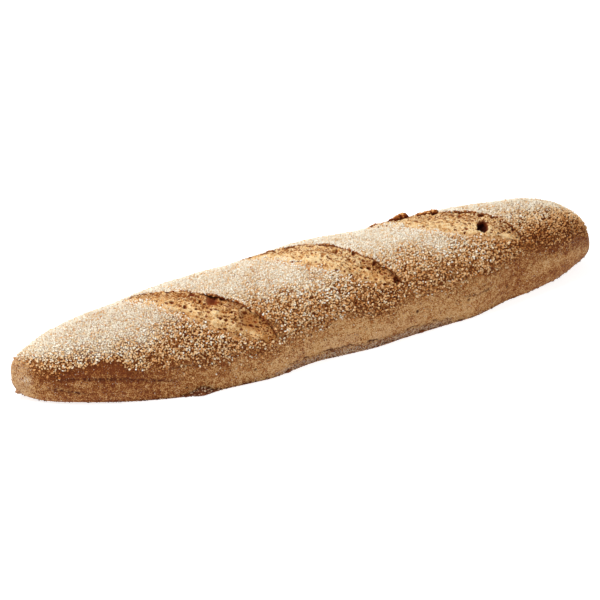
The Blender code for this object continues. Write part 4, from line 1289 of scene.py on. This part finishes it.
class Look:
    """A node material, put together in short calls."""

    def __init__(self, name, roughness, specular):
        self.material = bpy.data.materials.new(name)
        self.material.use_nodes = True
        self.tree = self.material.node_tree
        self.shader = self.tree.nodes["Principled BSDF"]
        self.shader.inputs["Roughness"].default_value = roughness
        self.shader.inputs["Specular IOR Level"].default_value = specular
        self.place = self.tree.nodes.new("ShaderNodeTexCoord").outputs["Object"]

    def join(self, value, socket):
        if isinstance(value, bpy.types.NodeSocket):
            self.tree.links.new(value, socket)
        else:
            socket.default_value = value

    def add(self, kind, sockets, output, **settings):
        """The output of a new node with these settings and with its sockets joined or set."""
        node = self.tree.nodes.new("ShaderNode" + kind)
        for name, value in settings.items():
            setattr(node, name, value)
        for name, value in sockets.items():
            self.join(value, node.inputs[name])
        return node.outputs[output]

    def noise(self, per_metre, detail=2.0, rough=0.5):
        sockets = {"Scale": per_metre, "Detail": detail, "Roughness": rough}
        return self.add("TexNoise", {"Vector": self.place, **sockets}, "Fac")

    def cells(self, per_metre):
        return self.add("TexVoronoi", {"Vector": self.place, "Scale": per_metre}, "Distance")

    def mark(self, name):
        return self.add("Attribute", {}, "Fac", attribute_name=name)

    def sum(self, a, b, kind="ADD", clamp=False):
        return self.add("Math", {0: a, 1: b}, 0, operation=kind, use_clamp=clamp)

    def times(self, a, b):
        return self.sum(a, b, "MULTIPLY")

    def map(self, value, low, high, to_low=0.0, to_high=1.0):
        sockets = {"From Min": low, "From Max": high, "To Min": to_low, "To Max": to_high}
        sockets["Value"] = value
        return self.add("MapRange", sockets, "Result", interpolation_type="SMOOTHSTEP")

    def ramp(self, value, *stops):
        node = self.tree.nodes.new("ShaderNodeValToRGB")
        self.join(value, node.inputs["Fac"])
        elements = node.color_ramp.elements
        while len(elements) < len(stops):
            elements.new(0.5)
        for element, (position, shade) in zip(elements, stops):
            element.position = position
            element.color = shade
        return node.outputs["Color"]

    def mix(self, factor, a, b):
        return self.add("Mix", {0: factor, 6: a, 7: b}, 2, data_type="RGBA", blend_type="MIX")

    def over(self, shade, mark, share, *tint):
        """The shade with a display colour laid over it where the piece is marked."""
        return self.mix(self.times(self.mark(mark), share), shade, colour(*tint))

    def finish(self, shade, height=None, distance=0.0003, strength=0.6):
        self.join(shade, self.shader.inputs["Base Color"])
        if height is not None:
            sockets = {"Distance": distance, "Strength": strength, "Height": height}
            self.join(self.add("Bump", sockets, "Normal"), self.shader.inputs["Normal"])
        return self.material


TAN = colour(200, 160, 112)
GOLDEN = colour(178, 131, 78)
BROWN = colour(144, 83, 36)
CHESTNUT = colour(100, 46, 15)
UMBER = colour(66, 32, 16)
CREAM = colour(227, 213, 189)


def crust_look():
    look = Look("crust", 0.72, 0.10)
    broad, middle = look.noise(70.0), look.noise(330.0, 3.0, 0.6)
    fine = look.noise(1250.0, 2.0, 0.65)
    # the toast mark holds the baked tone and the painted shade between the grits
    tone = look.sum(look.mark("toast"), look.map(middle, 0.25, 0.75, -0.26, 0.26))
    tone = look.sum(tone, look.map(broad, 0.3, 0.7, -0.07, 0.07), clamp=True)
    tone = look.sum(tone, look.map(fine, 0.3, 0.7, -0.42, 0.42), clamp=True)
    shade = look.ramp(tone, (0.05, TAN), (0.34, GOLDEN), (0.60, BROWN), (0.93, CHESTNUT))
    rare = look.map(look.noise(240.0), 0.52, 0.60)
    speck = look.times(look.map(look.cells(560.0), 0.26, 0.14), rare)
    shade = look.mix(look.times(speck, 0.75), shade, UMBER)
    rare = look.map(look.noise(180.0), 0.50, 0.60)
    pale = look.times(look.map(look.cells(760.0), 0.26, 0.12), rare)
    shade = look.mix(look.times(pale, 0.55), shade, CREAM)
    film = look.times(look.mark("film"), look.map(fine, 0.36, 0.66, 0.15, 0.9))
    shade = look.mix(film, shade, CREAM)
    dusty = look.times(look.mark("dust"), look.map(look.noise(1150.0, 3.0, 0.7), 0.46, 0.56))
    shade = look.mix(look.times(dusty, 0.75), shade, colour(222, 206, 184))
    shade = look.over(shade, "border", 0.75, 206, 140, 72)
    shade = look.mix(look.mark("lip"), shade, colour(124, 68, 32))
    # painted shade of the creases and pin holes, and the darker rim line
    shade = look.over(shade, "dark", 0.88, 62, 22, 9)
    away = look.sum(look.mark("crease_away"), look.map(look.noise(420.0), 0.3, 0.7, -0.7, 0.7))
    near = look.map(look.sum(away, 0.0, "ABSOLUTE"), 1.0, 0.3)
    crease = look.times(near, look.mark("crease"))
    # painted shade in the undercut and along the creases
    shade = look.mix(look.times(crease, 0.95), shade, colour(64, 20, 5))
    height = look.sum(look.sum(fine, look.times(middle, 1.2)), look.noise(900.0, 3.0, 0.6))
    return look.finish(shade, height, 0.0008, 0.8)


def crumb_look():
    look = Look("crumb", 0.65, 0.06)
    middle, fine = look.noise(420.0, 3.0, 0.6), look.noise(1700.0, 2.0, 0.6)
    tone = look.sum(look.mark("tone"), look.map(middle, 0.22, 0.60, -0.34, 0.14))
    tone = look.sum(tone, look.map(fine, 0.25, 0.60, -0.20, 0.10))
    # painted shade over the far half of the crumb
    tone = look.sum(tone, look.times(look.mark("far"), -0.12), clamp=True)
    shade = look.ramp(
        tone, (0.0, colour(124, 62, 22)), (0.28, colour(176, 115, 56)),
        (0.55, colour(204, 158, 101)), (1.0, colour(229, 204, 159)),
    )
    shade = look.over(shade, "border", 0.45, 200, 142, 78)
    shade = look.over(shade, "film", 0.85, 154, 98, 46)
    # painted shade in the pores, darkest in the deepest
    for low, high, most, tint in (
        (0.05, 0.7, 0.9, (122, 54, 20)),
        (0.8, 1.25, 0.9, (90, 32, 10)),
        (1.45, 1.9, 0.95, (44, 12, 5)),
    ):
        shade = look.mix(look.map(look.mark("pore_shade"), low, high, 0.0, most), shade, colour(*tint))
    # painted shadow under the lip, with dark blotches
    shade = look.over(shade, "under", 0.8, 122, 62, 24)
    shade = look.over(shade, "shaded", 0.9, 80, 30, 10)
    return look.finish(shade, fine, 0.0005, 0.7)


def lip_look(name, pale):
    """Torn crust, with flour on it where the piece is marked so."""
    look = Look(name, 0.7, 0.06)
    middle, fine = look.noise(500.0, 3.0, 0.6), look.noise(1800.0, 2.0, 0.6)
    # the dark mark holds baked dark with painted shade: under the lips, and on the crags a lit top
    # with shaded fronts and hollows
    tone = look.sum(look.mark("dark"), look.map(middle, 0.25, 0.75, -0.3, 0.3), clamp=True)
    shade = look.ramp(
        tone, (0.0, pale), (0.35, colour(150, 88, 40)), (0.75, colour(112, 50, 18)),
        (1.0, colour(76, 28, 9)),
    )
    floury = look.map(look.mark("flour"), 0.45, 0.85, 0.0, 0.9)
    shade = look.mix(look.times(floury, look.map(tone, 0.40, 0.10)), shade, CREAM)
    return look.finish(shade, fine, 0.0003, 0.7)


# Colours of the grains, from their darkest tint (0) to their palest (1)
GRAIN_COLOURS = {
    "lip_flakes": (
        (0.0, 92, 42, 18), (0.45, 146, 88, 44), (0.8, 196, 142, 88), (1.0, 222, 180, 128)),
    "crumb_bits": (
        (0.0, 120, 68, 34), (0.35, 174, 118, 66), (0.7, 210, 162, 102), (1.0, 234, 200, 148)),
    "grits_floury": ((0.0, 226, 195, 151), (0.5, 227, 213, 189), (1.0, 240, 235, 222)),
    "grits_golden": ((0.0, 211, 160, 104), (1.0, 226, 195, 151)),
    "grits_amber": ((0.0, 174, 110, 53), (1.0, 211, 160, 104)),
    "grits_toasted": ((0.0, 106, 52, 21), (1.0, 174, 110, 53)),
    "bran_specks": ((0.0, 98, 52, 26), (0.5, 168, 112, 66), (1.0, 227, 213, 189)),
    "rim_crumbs": ((0.0, 74, 30, 13), (0.4, 134, 78, 40), (1.0, 214, 186, 154)),
}


def grain_look(name):
    look = Look(name, 0.75, 0.14)
    fine = look.noise(2200.0, 2.0, 0.6)
    tone = look.sum(look.mark("tint"), look.map(fine, 0.3, 0.7, -0.14, 0.14), clamp=True)
    stops = [(position, colour(*tint)) for position, *tint in GRAIN_COLOURS[name]]
    return look.finish(look.ramp(tone, *stops), fine, 0.00015, 0.5)


def floor_look():
    look = Look("floor_paper", 0.9, 0.1)
    greys = ((at, (grey, grey, grey, 1.0)) for at, grey in ((0.0, 0.52), (1.0, 0.56)))
    shade = look.ramp(look.noise(9.0), *greys)
    look.shader.inputs["Emission Color"].default_value = (1.0, 1.0, 1.0, 1.0)
    look.shader.inputs["Emission Strength"].default_value = 0.80
    return look.finish(shade)


# ---------------------------------------------------------------- the object
skins = []
rng = np.random.default_rng(SEED)
pieces = [build_crust(crust_look())]
crumb_material = crumb_look()
lip_material = lip_look("torn_lip", GOLDEN)
for number, side in enumerate(("left", "middle", "right")):
    pieces.append(build_crumb(number, f"crumb_{side}", crumb_material))
    pieces.append(build_lip(number, f"lip_{side}", lip_material))
pieces.append(build_bits(rng, grain_look("crumb_bits")))
pieces.append(build_flakes(rng, grain_look("lip_flakes")))
pieces.append(build_crags(lip_look("torn_crags", colour(206, 156, 100))))
pieces += build_coat(rng)
pieces.append(build_specks(rng))
rim_material = grain_look("rim_crumbs")
pieces.append(build_rim_bran(rng, rim_material))
pieces.append(build_rim_crumbs(rng, rim_material))
for piece in pieces:
    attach(piece, "root")
    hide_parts("loaf")

# ---------------------------------------------------------------- floor, light and camera
FLOOR_SIZE = 30.0
bm = bmesh.new()
bmesh.ops.create_grid(bm, x_segments=2, y_segments=2, size=FLOOR_SIZE)
floor_mesh = bpy.data.meshes.new("floor")
bm.to_mesh(floor_mesh)
bm.free()
floor = bpy.data.objects.new("floor", floor_mesh)
floor.location.z = -0.0002
floor.data.materials.append(floor_look())
bpy.context.scene.collection.objects.link(floor)


def area_light(name, place, size, power, tint):
    """A round lamp that looks at the middle of the floor."""
    light = bpy.data.lights.new(name, "AREA")
    light.shape = "DISK"
    light.size = size
    light.energy = power
    light.color = tint
    obj = bpy.data.objects.new(name, light)
    obj.location = place
    obj.rotation_mode = "QUATERNION"
    obj.rotation_quaternion = Vector(place).to_track_quat("Z", "Y")
    bpy.context.scene.collection.objects.link(obj)


LAMP_TINT = (1.0, 0.99, 0.98)
area_light("key_light", (-0.75, 0.12, 1.60), 0.45, 30.5, LAMP_TINT)
area_light("fill_light", (0.6, -1.6, 1.3), 1.4, 2.0, LAMP_TINT)

scene = bpy.context.scene
world = bpy.data.worlds.new("studio")
scene.world = world
world.use_nodes = True
world.node_tree.nodes["Background"].inputs["Color"].default_value = (1.0, 0.995, 0.985, 1.0)
world.node_tree.nodes["Background"].inputs["Strength"].default_value = 0.475
scene.view_settings.view_transform = "Standard"

CAMERA_AZIMUTH = math.radians(-24.42)
CAMERA_ELEVATION = math.radians(31.0)
CAMERA_DISTANCE = 1.5873
CAMERA_LENS = 135.0
LOAF_CENTRE = (0.0, FOOTPRINT_CENTRE + FOOTPRINT_SHIFT, 0.03214)
SHIFT_RIGHT = -0.01035
SHIFT_UP = -0.00933
back = Vector((
    math.sin(CAMERA_AZIMUTH) * math.cos(CAMERA_ELEVATION),
    -math.cos(CAMERA_AZIMUTH) * math.cos(CAMERA_ELEVATION),
    math.sin(CAMERA_ELEVATION),
))
right = Vector((math.cos(CAMERA_AZIMUTH), math.sin(CAMERA_AZIMUTH), 0.0))
target = Vector(LOAF_CENTRE) + right * SHIFT_RIGHT + back.cross(right) * SHIFT_UP
camera_data = bpy.data.cameras.new("camera")
camera_data.lens = CAMERA_LENS
camera_data.sensor_width = 36.0
camera = bpy.data.objects.new("camera", camera_data)
camera.location = target + back * CAMERA_DISTANCE
camera.rotation_mode = "QUATERNION"
camera.rotation_quaternion = back.to_track_quat("Z", "Y")
scene.collection.objects.link(camera)
scene.camera = camera
